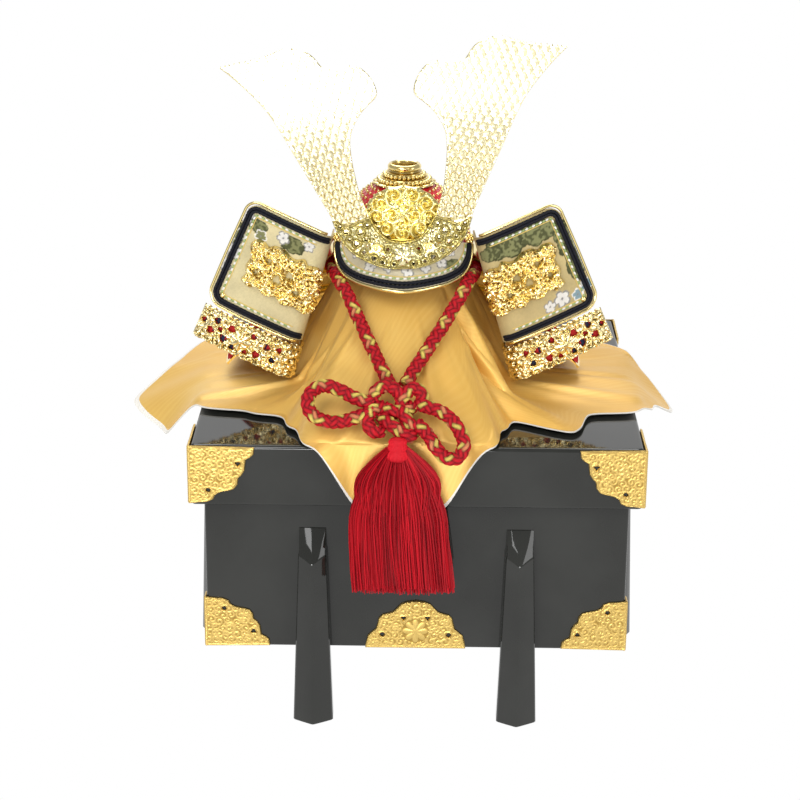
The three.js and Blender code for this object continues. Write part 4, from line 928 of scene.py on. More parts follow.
def cloth_surface(share, t):
    """The cloth's spot: a cone over the post, a run from the stand's rim to a shoulder, and on to the
    lid's edge and the hem. Each fold's row is blended into the next by a smooth step."""
    place = share * len(FOLDS)
    k = np.floor(place).astype(int) % len(FOLDS)
    w = place - np.floor(place)
    a, b = FOLDS[k], FOLDS[(k + 1) % len(FOLDS)].copy()
    b[..., 0] += np.where(b[..., 0] < a[..., 0], 360, 0)
    row = mix(a, b, smooth(w)[..., None])
    angle = np.radians(mix(a[..., 0], b[..., 0], w))
    shoulder, shoulder_z = row[..., 1] * CLOTH_REACH, LID_TOP + row[..., 2] * CLOTH_RISE
    hem, hem_z = row[..., 3] * CLOTH_REACH, LID_TOP + row[..., 4] * CLOTH_RISE
    edge = np.minimum(lid_edge(angle) + 1.5, mix(shoulder, hem, 0.9))
    tent = t / TENT_END
    cone = np.clip((tent - 0.3) / 0.7, 0, 1)
    tent_r = np.where(tent < 0.3, 14 * tent / 0.3, mix(14, STAND_RIM, cone))
    tent_z = mix(STAND_PEAK, RIM_LEVEL, 1 - (1 - cone) ** 1.7)
    out = (t - TENT_END) / (SHOULDER_END - TENT_END)
    down = (t - SHOULDER_END) / (1 - SHOULDER_END) * 2
    stage = lambda first, rim, middle, over, last: np.where(
        t <= TENT_END, first, np.where(t <= SHOULDER_END, mix(rim, middle, out),
                                       np.where(down <= 1, mix(middle, over, down), mix(over, last, down - 1))))
    return round_axis(stage(tent_r, STAND_RIM, shoulder, edge, hem), angle,
                      stage(tent_z, RIM_LEVEL, shoulder_z, LID_TOP + 2.4, hem_z))


def soften(points, rounds, around=True):
    """Each point drawn towards the mean of its neighbours, round the grid and down it."""
    for _ in range(rounds):
        ring = (np.roll(points, 1, 1) + np.roll(points, -1, 1)) / 2
        down = points.copy()
        down[1:-1] = (points[2:] + points[:-2]) / 2
        points = points * 0.5 + (ring + down) * 0.25
    return points


# Creases: where each starts and ends, as degrees from the front and share of the cloth's run, and its rise
CREASES = [
    (-7, 0.42, -17, 0.84, 1.8), (9, 0.40, 13, 0.88, 2.0), (21, 0.40, 25, 0.78, -1.8), (-22, 0.42, -31, 0.80, 2.2),
    (-36, 0.48, -47, 0.86, 2.0), (34, 0.45, 50, 0.88, 2.2), (-58, 0.5, -70, 0.93, 2.4), (-78, 0.55, -84, 0.95, -2.0),
    (62, 0.52, 76, 0.93, 2.2), (84, 0.55, 90, 0.95, -1.8), (-100, 0.5, -106, 0.92, 2.0), (105, 0.5, 112, 0.92, 2.0),
    (-128, 0.5, -134, 0.9, 2.0), (133, 0.5, 138, 0.9, 2.2), (-158, 0.5, -163, 0.9, 1.8), (160, 0.5, 166, 0.9, 1.8),
    (-3, 0.60, 8, 0.93, -1.4), (27, 0.55, 44, 0.68, 1.4), (-40, 0.60, -60, 0.72, 1.4)]


def crease_rise(angle, t):
    """Each crease rises as a bell of its distance from a line on the cloth, and dies out at both ends."""
    across, down = 90, 170
    at = spots_of(angle * across, t * down)
    rise = np.zeros_like(angle)
    for a0, t0, a1, t1, height in CREASES:
        start, end = (np.array([math.radians(a) * across, s * down]) for a, s in ((a0, t0), (a1, t1)))
        share = np.clip(((at - start) @ (end - start)) / ((end - start) @ (end - start)), 0, 1)
        away = np.linalg.norm(at - start - share[..., None] * (end - start), axis=-1)
        rise += height * bell(away, 0, 2.2 + 2.0 * share) * np.sin(math.pi * share) ** 0.7
    return rise


def build_cloth():
    """The surface softened, then rumpled and creased along its turn where it lies free; a second skin a
    millimetre below, hemmed to it. Its UV is the run down it, laid out round the middle."""
    around, down = 336, 74
    s, t = np.meshgrid(np.arange(around) / around, np.append(np.linspace(0.012, 0.992, down - 1), 1.0))
    spots = soften(cloth_surface(s, t), 3)
    free = smooth((t - 0.36) / 0.15)[..., None]
    angle = np.arctan2(spots[..., 0], -spots[..., 1])
    wave = rumple(angle * 60 + 300, t * 60, 9.0, 5) * 1.3 + rumple(angle * 60 + 100, t * 30, 4.5, 6) * 0.6
    wave = wave + crease_rise(angle, t)
    spots = spots + round_axis(wave, angle, np.abs(wave) * (1 - smooth((t - 0.8) / 0.2))) * free
    run = run_down(spots)[:, None]
    quads, ci, cj = grid(down, around, around=True)
    uv = spots_of(run * np.sin(angle), -run * np.cos(angle))[cj, ci % around]
    out = unit(np.cross(np.roll(spots, -1, 1) - np.roll(spots, 1, 1), np.gradient(spots, axis=0)))
    if out[down // 2, 0, 2] < 0 and out[down // 2, 0, 1] > 0:
        out = -out
    upper, lower = ((spots + out * rise).reshape(-1, 3) for rise in (1.1, 0.1))
    n, k = down * around, np.arange(around)
    last = n - around + k
    after = np.roll(last, -1)
    hemmed = np.stack([last, after, after + n, last + n], -1)
    caps = np.concatenate([fan(k, 2 * n), fan(n + k, 2 * n + 1)[:, [0, 2, 1]]])
    part = shape(np.vstack([upper, lower, upper[:around].mean(0), lower[:around].mean(0)]),
                 [quads, quads[:, ::-1] + n, hemmed, caps],
                 [uv, uv[:, ::-1], np.zeros(hemmed.shape + (2,)), np.zeros(caps.shape + (2,))])
    piece = put("satin_cloth", outward(part), SATIN, ["gold_cloth"], 60)
    piece.data.materials.append(SATIN_BACK)
    index = np.zeros(len(piece.data.polygons), np.int32)
    back = len(quads)
    index[back:2 * back + len(hemmed)] = 1
    index[:back][cj[:, 0] == down - 2] = 1
    piece.data.polygons.foreach_set("material_index", index)


build_chest()
build_legs()
build_fittings()
build_stand()
build_cloth()


# Bowl and finial

# Half width, half depth and height of the bowl, its wall, and its plates
BOWL = (50.0, 55.0, 53.0)
STRETCH = BOWL[1] / BOWL[0]
BOWL_WALL, BOWL_PLATES = 1.6, 32
BEAD = dome(8, 3)


def bowl_rise(share):
    """Height of the bowl's outside at a share of its radius: an ellipse."""
    return RIM + BOWL[2] * np.sqrt(np.maximum(0, 1 - share ** 2))


def build_bowl():
    """A turned dome with an inside, and rows of rivets up the middle of each plate."""
    tilt = np.linspace(0, math.radians(88), 22)
    wall = lambda less: spots_of((BOWL[0] - less) * np.cos(tilt), RIM + (BOWL[2] - less) * np.sin(tilt))
    inner = wall(BOWL_WALL)[::-1]
    profile = np.vstack([inner, [(49.2, RIM - 0.5)], wall(0)])

    def ribbed(r, z, angle):
        """The outer wall has a ridge on each seam."""
        out = (np.arange(len(profile)) > len(inner))[:, None]
        seam = np.abs(((angle / TURN * BOWL_PLATES) % 1) - 0.5) * 2
        return r + out * np.where(seam > 0.86, 0.55, 0.0) * np.clip(r / 12, 0, 1), z

    put("ribbed_bowl", turned(profile, 256, ribbed, STRETCH), RED, ["bowl"], 30)
    turn, tilt = np.meshgrid((np.arange(BOWL_PLATES) + 0.5) / BOWL_PLATES * TURN, np.radians(np.arange(4, 62, 5.2)),
                             indexing="ij")
    out = round_axis(np.cos(tilt), turn, np.sin(tilt)).reshape(-1, 3)
    spots = out * (np.array(BOWL) + 0.2) + [0, 0, RIM]
    put("bowl_rivets", scattered(BEAD, spots, [0.3, 0.2, 1.0], out, [1.15, 1.15, 1.15 * 1.15]), BRIGHT)


def build_finial():
    """Stepped rings over a petalled foot, with two rows of beads and a round opening on top."""
    radius, rise = 22.8, 15.8
    base = float(bowl_rise(radius / BOWL[1]))
    under = [(s * radius, float(bowl_rise(s * radius / BOWL[1])) + GAP, 0.4) for s in (0.02, 0.35, 0.7, 0.97)]
    # Each row's third number is its painted shade: darkest under the fitting, in the tiers' inner corners and down the
    # round opening.
    tier = [(1.0, 0.03, 0.5), (1.05, 0.06, 1), (1.02, 0.11, 1), (0.95, 0.15, 0.8), (0.86, 0.16, 0.1),
            (0.80, 0.20, 0.1), (0.80, 0.32, 0.2), (0.78, 0.37, 1), (0.70, 0.39, 0.1), (0.62, 0.42, 0.1),
            (0.61, 0.54, 0.2), (0.60, 0.60, 1), (0.54, 0.62, 0.2), (0.50, 0.64, 0.2), (0.49, 0.70, 0.6),
            (0.53, 0.74, 1), (0.55, 0.82, 1), (0.54, 0.91, 1), (0.50, 0.98, 1), (0.45, 1.0, 1), (0.41, 0.97, 1),
            (0.39, 0.90, 0.5), (0.38, 0.72, 0.05), (0.02, 0.68, 0.05)]
    rows = np.array(under + [(r * radius, base + h * rise, shade) for r, h, shade in tier])

    def petals(r, z, angle):
        """Lobes round the lowest tier: the radius follows the size of a cosine between 14 petals."""
        low = np.clip((0.24 - (z - base) / rise) / 0.2, 0, 1)
        lobe = np.abs(np.cos(angle * 7)) ** 0.5
        return r * (1 - 0.09 * low * (1 - lobe)), z + 0.9 * low * lobe * (r > 0.8 * radius)

    count = 140
    body = turned(rows[:, :2], count, petals)
    # The middles of the end fans are painted dark as shade too.
    body["dye"] = np.append(np.repeat(rows[:, 2], count), [0.1, 0.1])[:, None].repeat(3, 1)
    parts = [body]
    for share, height, beads, size in ((0.84, 0.25, 36, 1.7), (0.655, 0.48, 28, 1.6)):
        a = turns(beads)
        spots = round_axis(share * radius, a, base + height * rise)
        parts.append(scattered(BEAD, spots, spots_of(np.cos(a), np.sin(a), 0 * a), round_axis(1, a, 0.35), size))
    put("crown_fitting", join(*parts), BRIGHT, ["crown_finial"], 40)


# Brocade patterns

CREAM, BEIGE = np.array([0.62, 0.55, 0.38]), np.array([0.53, 0.42, 0.20])
GREEN, PALE_GREEN = np.array([0.085, 0.09, 0.035]), np.array([0.23, 0.235, 0.10])
WHITE, BLUE = np.array([0.84, 0.81, 0.76]), np.array([0.25, 0.36, 0.40])


def dyed(x, y, ground, blossoms, clouds, seed):
    """Ground colour with a shaded drift; clouds of dark-edged lobes with flecks; outlined five-petalled flowers."""
    color = ground * (1 + 0.10 * rumple(x, y, 9, seed))[..., None] * (1 + 0.07 * rumple(x, y, 0.7, seed + 1))[..., None]
    for cx, cy, rx, ry in clouds:
        dx, dy = (x - cx) / rx, (y - cy) / ry
        r = np.hypot(dx, dy) - 0.16 * np.abs(np.sin(3.5 * np.arctan2(dy, dx) + cx)) + 0.16 * rumple(x, y, 5, seed + 2)
        fleck = smooth((rumple(x, y, 1.5, seed + 3) + rumple(x, y, 3.0, seed + 4) * 0.6 + 0.25) / 0.5)
        color = np.where((r < 0.9)[..., None], mix(GREEN, PALE_GREEN, fleck[..., None]), color)
        color = np.where((np.abs(r - 0.9) < 0.07)[..., None], GREEN * 0.7, color)
    for cx, cy, size, turn, tone in blossoms:
        dx, dy = x - cx, y - cy
        r = np.hypot(dx, dy) / size
        angle = np.arctan2(dy, dx) - turn
        edge = 0.58 + 0.42 * np.abs(np.cos(angle * 2.5)) ** 0.6
        fill = (WHITE, PALE_GREEN, BLUE)[tone]
        color = np.where((r < edge)[..., None], fill * (0.85 + 0.15 * np.minimum(r, 1))[..., None], color)
        color = np.where((np.abs(r - edge) < 0.10)[..., None], WHITE * (0.34 if tone == 0 else 1.0), color)
        color = np.where((r < 0.15)[..., None], WHITE * 0.3, color)
    return color


RICE = dome(6, 3, 0.6)


def stitched(path, out):
    """A two-coloured thread laid along a path: white and green stitches in turn, and a fine gold wire beside it."""
    run, pitch = run_of(path), 5.4
    at = np.arange(pitch / 2, run[-1], pitch / 2)
    take = lambda rows: np.stack([np.interp(at, run, rows[:, k]) for k in range(3)], -1)
    outs, ahead = unit(take(out)), unit(take(np.gradient(path, run, axis=0)))
    part = scattered(RICE, take(path), unit(ahead + np.cross(outs, ahead) * 0.22), outs, [pitch * 0.30, 0.85, 0.75])
    tones = np.array([[0.86, 0.84, 0.78], [0.34, 0.44, 0.17]])
    aside = unit(np.cross(out, np.gradient(path, axis=0)))
    wire = sweep(evenly(path + aside * 1.35 + out * 0.2, 1.2), 0.38, 6)
    return join(tinted(part, tones[np.arange(len(at)) % 2]), tinted(wire, [0.70, 0.52, 0.16]))


def ridged_cord(path, radius):
    """A fine plied cord: the radius waves with the run plus the angle, which gives slanted strands."""
    pitch = 1.6
    return sweep(path, radius, 8, lambda s, a: 1 + 0.10 * np.cos(2 * a + s * TURN / pitch / 2))


# Visor

# The visor's rim from its middle to its end: shares of its half width, of its reach forwards and of its drop
VISOR_RIM = [(0, 1, 1), (0.24, 0.94, 0.98), (0.46, 0.80, 0.95), (0.70, 0.58, 0.90), (0.90, 0.32, 0.74),
             (0.99, 0.12, 0.42), (1, 0, 0)]
VISOR_TOP = 331.0


def visor_surface(u, v):
    """Straight runs from an arc on the bowl to a smooth curve through the rim's points."""
    spot = lambda row, side: (side * row[0] * 49.5, -34 - row[1] * 40, VISOR_TOP - row[2] * 25)
    rim = [spot(row, -1) for row in VISOR_RIM[:0:-1]] + [spot(row, 1) for row in VISOR_RIM]
    turn = np.radians(50 * (2 * u - 1))
    hug = math.sqrt(1 - ((VISOR_TOP - RIM) / BOWL[2]) ** 2) + 4 * GAP / BOWL[0]
    root = spots_of(BOWL[0] * hug * np.sin(turn), -BOWL[1] * hug * np.cos(turn), VISOR_TOP)
    return mix(root, curve_at(rim, u), v[..., None])


def surface_line(surface, u, v, rise=0.0):
    """Points of a surface's line, raised along its normal, with the normals."""
    e = 1e-3
    u, v = np.broadcast_arrays(np.asarray(u, float), np.asarray(v, float))
    across = surface(np.clip(u + e, 0, 1), v) - surface(np.clip(u - e, 0, 1), v)
    down = surface(u, np.clip(v + e, 0, 1)) - surface(u, np.clip(v - e, 0, 1))
    out = unit(np.cross(across, down))
    return surface(u, v) + out * rise, out


def build_visor():
    """The brocade apron, a line of stitches and two navy cords on it, bead clusters and the gilt rim."""
    u, v = np.meshgrid(np.linspace(0, 1, 190), np.linspace(0, 1, 46))
    blossoms = [(-44, 9, 4.6, 0.3, 0), (-27, 14, 5.0, 1.0, 0), (-12, 12, 4.6, 0.1, 0), (4, 14, 5.0, 0.7, 0),
                (19, 13, 4.6, 0.4, 0), (33, 12, 4.8, 1.2, 0), (47, 8, 4.2, 0.2, 0), (-36, 3, 4.0, 0.6, 1),
                (26, 5, 4.0, 0.2, 1), (-2, 6, 4.0, 0.9, 1)]
    dye = dyed((u - 0.5) * 130, v * 27, CREAM, blossoms, [(-20, 6, 7, 5), (12, 6, 7, 5), (40, 17, 6, 4)], 21)
    put("visor_brocade", shell(visor_surface(u, v), PLATE, dye), BROCADE, ["visor"], 50)
    run = np.linspace(0.01, 0.99, 160)
    line, out = surface_line(visor_surface, run, 0.72)
    put("visor_stitches", stitched(line, -out), THREAD)
    cords = [ridged_cord(evenly(surface_line(visor_surface, run, k, -1.0)[0], 0.8), 1.3) for k in (0.84, 0.935)]
    put("visor_navy_cord", join(*cords), NAVY, ["visor_cord_rim"], 60)
    ring = spots_of(2.3 * np.cos(turns(6)), -0.4, 2.3 * np.sin(turns(6)))
    spots = np.vstack([ring, [[0, -1.6, 0]]]) + [48.6, -35.2, 334.4]
    both("corner_beads", scattered(dome(8, 4, 0.9), spots, [1.0, 0, 0], [0, -1.0, 0.2], 1.7), BRIGHT)
    edge, out = surface_line(visor_surface, run, 1.0)
    past = unit(edge - visor_surface(run, np.full_like(run, 0.96)))
    rim = sweep(evenly(edge + past * 1.0 + out * PLATE * 0.5, 1.2), 1.35, 8)
    put("visor_gilt_rim", rim, BRIGHT, ["visor_gold_rim"], 60)


# Crest

def crest_place(x, y, z, roll=0.0, pivot=0.0):
    """Rolled about the front axis at the pivot, leant back about the cross axis, and set over the visor."""
    b, a = -math.radians(roll), -math.radians(5)
    x1, z1 = x * math.cos(b) + z * math.sin(b), -x * math.sin(b) + z * math.cos(b) + pivot
    return spots_of(x1, y * math.cos(a) - z1 * math.sin(a) - 63, y * math.sin(a) + z1 * math.cos(a) + 340)


# The crescent's outer edge from its middle to its tip, its inner edge back to the middle, its holes and its
# scrolls, as shares of its half width and of its height below or above the middle; then a size, and for
# scrolls a hand and a start
BASE_HALF, BASE_LOW, BASE_HIGH, BASE_ROLL = 50.5, 21.0, 18.0, 2.3
BASE_OUTER = [(0, -1), (0.30, -0.93), (0.64, -0.56), (0.87, 0.0), (1, 0.88)]
BASE_INNER = [(0.90, 0.80), (0.82, 0.66), (0.74, 0.70), (0.66, 0.82), (0.56, 0.92), (0.47, 1), (0.40, 0.72),
              (0.34, 0.46), (0.26, 0.20), (0.17, 0.05), (0.08, 0.0), (0, -0.02)]
BASE_HOLES = [(0.80, 0.46, 2.6), (0.60, 0.40, 2.6), (0.66, -0.05, 2.4), (0.42, -0.58, 2.2), (0.89, 0.66, 1.3),
              (0.52, 0.10, 1.4), (0.50, 0.68, 1.5), (0.76, 0.14, 1.3), (0.30, -0.72, 1.3), (0.56, -0.36, 1.5),
              (0.22, -0.28, 1.4), (0.14, -0.80, 1.2)]
BASE_SCROLLS = [(0.80, 0.40, 7.0, 1, 0.1), (0.60, 0.40, 6.6, -1, 0.4), (0.67, -0.06, 6.0, 1, 0.7),
                (0.42, -0.56, 6.2, -1, 0.2), (0.92, 0.70, 4.0, 1, 0.5), (0.50, 0.74, 5.0, 1, 0.9),
                (0.24, -0.34, 5.2, 1, 0.3), (0.52, 0.06, 4.4, 1, 0.6), (0.22, -0.80, 4.6, -1, 0.8),
                (0.57, -0.36, 4.0, -1, 0.0), (0.34, -0.2, 4.4, 1, 0.2), (0.76, 0.1, 4.0, -1, 0.3)]


def rough_hole(x, y, size, seed):
    """A small gap of uneven outline: its radius waves with the angle."""
    a = turns(14)
    dice = np.random.default_rng(seed)
    r = size * (1 + 0.22 * np.sin(3 * a + dice.uniform(0, 6)) + 0.14 * np.sin(5 * a + dice.uniform(0, 6)))
    return spots_of(x + r * np.cos(a), y + r * np.sin(a))


def build_crest_base():
    """A pierced crescent of scrolls with a flower in its middle, and a flower stud on each arm."""
    up = lambda k: k * (BASE_LOW if k < 0 else BASE_HIGH)
    half = lambda rows, side: [(side * a * BASE_HALF, up(k)) for a, k in rows]
    outer = spline_2d(half(BASE_OUTER[::-1], -1) + half(BASE_OUTER[1:], 1), 60)
    inner = spline_2d(half(BASE_INNER, 1), 40)
    outline = np.vstack([outer, inner[1:], inner[-2:0:-1] * [-1, 1]])
    holes = [rough_hole(s * a * BASE_HALF, up(k), r * 0.6, i)
             for i, (a, k, r) in enumerate(BASE_HOLES) for s in (-1, 1)]
    rows = [(s * a * BASE_HALF, up(k), size, s * hand, start)
            for s in (-1, 1) for a, k, size, hand, start in BASE_SCROLLS]
    fill = scroll_rows((-50, -21), (50, 17), 5.0, 3.4, 17)

    def front(x, y, edge):
        """Height and shade by the distance from the edge and by the pattern."""
        rim, field = bell(edge, 0.85, 0.55), smooth((edge - 2.0) / 0.7)
        relief = np.maximum(scrolls(x, y, rows, 2.0), 0.5 * scrolls(x, y, fill, 1.6))
        bloom = flower(x, y, 0, -11.5, 8.0, 6, 0.3)
        relief = np.where(bloom > 0, 1.15 * bloom, relief)
        # The ground between the scrolls is painted dark as shade; the rim stays light.
        shade = np.maximum(rim, field * (0.10 + 0.90 * smooth((relief - 0.14) / 0.25)))
        return 1.0 + smooth(edge / 0.4) * 0.4 + 1.3 * rim + 1.9 * relief * field, shade

    crescent = plate([outline] + holes, 0.62, front, 0.0, lambda x, y, h: crest_place(x, -h, y, BASE_ROLL))
    put("pierced_crescent", crescent, BRASS, ["crest_base"], 32)
    petal = lambda r, z, angle: (r * (1 - 0.16 * (1 - np.abs(np.cos(angle * 4))) * (r > 1.9)), z)
    profile = [(0.1, 0.0), (3.5, 0.0), (3.7, 0.5), (3.3, 1.0), (2.0, 0.9), (1.7, 1.6), (1.5, 2.4), (0.9, 2.8),
               (0.1, 2.9)]
    stud = turned(profile, 48, petal)
    x, y, z = stud["points"].T
    for name, side in (("left", -1), ("right", 1)):
        part = dict(stud, points=crest_place(x + side * 19.5, -z - 2.6, y + up(-0.22), BASE_ROLL))
        put("flower_stud_" + name, outward(part), BRIGHT, ["crest_stud_" + name], 40)


# A blade's inner edge, crown and outer edge, as shares of its reach and rise
BLADE_REACH, BLADE_RISE, BLADE_ROLL = 123.5, 126.5, 4.0
BLADE_INNER = [(0.155, -0.16), (0.189, 0.016), (0.238, 0.15), (0.263, 0.277), (0.277, 0.40), (0.270, 0.50),
               (0.222, 0.593), (0.165, 0.655), (0.113, 0.70), (0.107, 0.745), (0.135, 0.81), (0.185, 0.865),
               (0.250, 0.886), (0.330, 0.887), (0.413, 0.889)]
BLADE_CROWN = [(0.413, 0.889), (0.462, 0.952), (0.530, 0.99), (0.620, 1), (0.70, 0.975), (0.80, 0.951),
               (0.90, 0.937), (1, 0.92)]
BLADE_OUTER = [(1, 0.92), (0.895, 0.826), (0.77, 0.69), (0.69, 0.565), (0.60, 0.39), (0.485, 0.17), (0.405, 0.01),
               (0.36, -0.13)]


def scale_rows(x, y):
    """Rows of round-topped scales, each over the row above it: a point belongs to the lowest scale that
    covers it. Height and painted shade: a low dome, a bean in its foot, and a line of painted shade round both."""
    across, down, lean = 6.3, 5.6, math.radians(-12)
    x, y = x * math.cos(lean) + y * math.sin(lean), y * math.cos(lean) - x * math.sin(lean)
    height, shade, free = np.zeros_like(x), np.full_like(x, 0.15), np.ones(x.shape, bool)
    for step in (-1, 0, 1, 2):
        row = np.floor(y / down) + step - 1
        shift = (row % 2) * across / 2
        dx = (x - shift - np.round((x - shift) / across) * across) / (across * 0.54)
        dy = (y - row * down) / (down * 1.12)
        d = np.hypot(dx, dy)
        hit = free & (d < 1)
        bean = np.hypot(dx / 0.34, (dy - 0.12) / 0.30)
        h = 0.9 * (1 - d ** 3) + 0.25 + np.where(bean < 1, 0.35 * (1 - bean ** 2), 0)
        # A line of painted shade round each scale and round its bean.
        painted_dark = (1 - smooth((d - 0.80) / 0.16)) * (1 - 0.75 * bell(bean, 1.1, 0.22))
        height, shade = np.where(hit, h, height), np.where(hit, painted_dark, shade)
        free &= ~hit
    return height, shade


def build_blades():
    """Each blade is a flat plate with a turned edge, chased all over with scales; towards its top the chasing flattens
    and its painted shade lines fade out, as painted glare.
    """
    run = lambda rows, n: spline_2d([(a * BLADE_REACH, u * BLADE_RISE) for a, u in rows], n)
    outline = np.vstack([run(BLADE_INNER, 60), run(BLADE_CROWN, 34)[1:], run(BLADE_OUTER, 30)[1:]])

    def front(x, y, edge):
        """Height and shade by the distance from the edge and by the pattern."""
        height, shade = scale_rows(x, y)
        field, rim = smooth((edge - 0.9) / 0.5), bell(edge, 0.6, 0.4)
        # Towards the top the lines' painted shade fades out and the relief flattens, as painted glare.
        behind, top_glare = smooth((y + 2.0) / 3.0), smooth((y - 8) / 85)
        chasing = (height * field * (1 - 0.7 * top_glare) + 0.4 * rim) * (0.15 + 0.85 * behind)
        return 0.6 + 0.6 * smooth(edge / 0.4) + chasing, mix(1, mix(shade, 1, 0.85 * top_glare), field)

    for name, side in (("right", 1), ("left", -1)):
        part = plate([outline], 0.66, front, 0.0, lambda x, y, h: crest_place(side * x, 1.65 - h, y, BLADE_ROLL, 15.0))
        put("scaled_blade_" + name, part, GLARE_GOLD, ["crest_blade_" + name], 34)


def build_medallion():
    """A domed oval of bold curls round a boss, and its tab behind the crescent."""
    half, high = 27, 20
    a = np.linspace(0, TURN, 96, endpoint=False)
    wave = 1 + 0.015 * np.cos(16 * a)
    dice = np.random.default_rng(12)
    rows = []
    for count, share, size in ((9, 0.70, 9.5), (4, 0.30, 8.0)):
        for k in range(count):
            t = (k + 0.5 * (count % 2)) / count * TURN
            rows.append((half * share * math.sin(t), high * share * math.cos(t), size * dice.uniform(0.8, 1.15),
                         dice.choice([-1, 1]), dice.uniform(0, 1)))

    def front(x, y, edge):
        """Height and shade by the distance from the edge and by the pattern."""
        t = np.clip(1 - np.hypot(x / half, y / high) ** 2, 0, 1)
        lobes = 0.7 * np.abs(np.cos(np.arctan2(y / high, x / half) * 15)) * (t < 0.2)
        relief = np.maximum(np.maximum(scrolls(x, y, rows, 2.1), flower(x, y, 0, 1, 6.5, 8)), lobes)
        # Between the curls the ground is painted dark as shade.
        return 1.2 + 4.2 * t ** 0.7 + 2.4 * relief * smooth(edge / 1.5), smooth((relief - 0.12) / 0.30)

    outline = spots_of(half * np.sin(a) * wave, high * np.cos(a) * wave)
    disc = plate([outline], 0.48, front, 0.0, lambda x, y, h: crest_place(x, 5.4 - h, y + 19))
    corners = np.array([(-9, 0.4), (9, 0.4), (9, 5.4), (-9, 5.4)])
    tab = rings(np.stack([crest_place(*corners.T, z) for z in (-12.6, 1.0)]))
    # The tab is painted almost black, as shade behind the crescent.
    put("relief_medallion", join(disc, tinted(tab, [0.1] * 3)), RELIEF, ["crest_medallion"], 40)


# Turned-back panels

# The panel's lean, its lower inner corner (x and z), its face's width, how far that tapers in the height, the
# face's y and how far its outer edge is set back, and the bend at its inner edge with the leg behind it
TILT = math.radians(23.8)
CORNER = (75.6, 256.7)
WIDTH, TAPER, HEIGHT, FRONT, SETBACK, BEND, LEG = 75.0, 10.8, 82.5, -46.0, 12.0, 9.0, 17.0
ARC = BEND * math.pi / 2
ROUND = 10


def panel_full(up):
    """The whole reach at a height: leg, bend and face."""
    return LEG + ARC + WIDTH - BEND - TAPER * up / HEIGHT


def panel_spot(reach, up):
    """From the leg's free end round a bend and out along the face, leaning with the panel's tilt."""
    reach, up = np.broadcast_arrays(np.asarray(reach, float), np.asarray(up, float))
    angle = np.clip((reach - LEG) / BEND, 0, math.pi / 2)
    past = np.maximum(reach - LEG - ARC, 0)
    across = TAPER * up / HEIGHT + BEND * (1 - np.cos(angle)) + past
    y = np.where(reach < LEG, FRONT + BEND + (LEG - reach),
                 np.where(reach < LEG + ARC, FRONT + BEND * (1 - np.sin(angle)), FRONT + SETBACK * (past / WIDTH) ** 2))
    return spots_of(CORNER[0] + across * math.cos(TILT) - up * math.sin(TILT), y,
                    CORNER[1] + across * math.sin(TILT) + up * math.cos(TILT))


def panel_raised(reach, up, rise):
    """The spot moved along the face's normal, with the normal."""
    e = 0.05
    across = panel_spot(np.asarray(reach) + e, up) - panel_spot(np.asarray(reach) - e, up)
    high = panel_spot(reach, np.asarray(up) + e) - panel_spot(reach, np.asarray(up) - e)
    out = unit(np.cross(across, high))
    return panel_spot(reach, up) + out * np.asarray(rise)[..., None], out


def panel_line(inset, pitch, start):
    """Reach and height along the bottom, round the outer corners and back along the top."""
    r, first, q = ROUND - inset, LEG + ARC * start, np.linspace(0, math.pi / 2, 9)
    low, high = panel_full(ROUND) - ROUND, panel_full(HEIGHT - ROUND) - ROUND
    points = [[(first, inset), (low, inset)], spots_of(low + r * np.sin(q), ROUND - r * np.cos(q)),
              spots_of(high + r * np.cos(q), HEIGHT - ROUND + r * np.sin(q)), [(first, HEIGHT - inset)]]
    return evenly(np.vstack(points), pitch)


def panel_cloth(blossoms, pines, ground, seed):
    """The brocade, its reach cut short near the rounded corners by the quarter circle's own depth."""
    u, v = np.meshgrid(np.linspace(0, 1, 136), np.linspace(0, 1, 122))
    up = v * HEIGHT
    near = np.minimum(up, HEIGHT - up)
    short = np.where(near < ROUND, ROUND - np.sqrt(np.maximum(0, ROUND ** 2 - (ROUND - near) ** 2)), 0)
    reach = u * (panel_full(up) - short)
    return shell(panel_spot(reach, up), PLATE, dyed(reach, up, ground, blossoms, pines, seed))


# The ornament's outline, and its gaps with a size, as reach and height on the panel
ORNAMENT_EDGE = [(21, 26), (21, 34), (20, 43), (22, 52), (26, 58), (32, 57), (37, 60), (44, 57), (50, 60), (57, 61),
                 (64, 58), (70, 60), (76, 57), (77, 50), (74, 45), (77, 38), (75, 32), (77, 26), (71, 23), (64, 25),
                 (58, 22), (50, 24), (43, 21), (36, 23), (29, 21), (24, 22)]
ORNAMENT_HOLES = [(44, 44, 2.3), (52, 37, 2.6), (36, 34, 1.5), (61, 48, 1.4), (68, 36, 1.3)]


def build_ornament():
    """A cast relief of scrolls in two sizes over a swelling ground, its outline a little uneven."""
    loop = spline_2d(ORNAMENT_EDGE + [ORNAMENT_EDGE[0]], 120)[:-1]
    angle = np.arange(len(loop)) * 0.9
    loop = loop + spots_of(np.sin(angle), np.cos(angle * 1.3)) * 0.35
    holes = [rough_hole(*row, k) for k, row in enumerate(ORNAMENT_HOLES)]
    rows, fine = (scroll_rows((22, 23), (76, 60), *sizes) for sizes in ((9.5, 6.2, 31), (5.2, 3.6, 32)))

    def front(x, y, edge):
        """Height and shade by the distance from the edge and by the pattern."""
        lift = 0.35 * rumple(x, y, 11, 33) + 0.65
        relief = np.maximum(scrolls(x, y, rows, 1.7), 0.8 * scrolls(x, y, fine, 1.5)) + 0.14 * rumple(x, y, 1.6, 34)
        # The ground between the scrolls is painted dark as shade.
        return 1.9 + smooth(edge / 1.4) * (1.0 + 1.2 * lift + 3.2 * relief), smooth((relief - 0.12) / 0.36)

    return plate([loop] + holes, 0.50, front, 1.9, lambda x, y, h: panel_raised(x, y, h)[0])


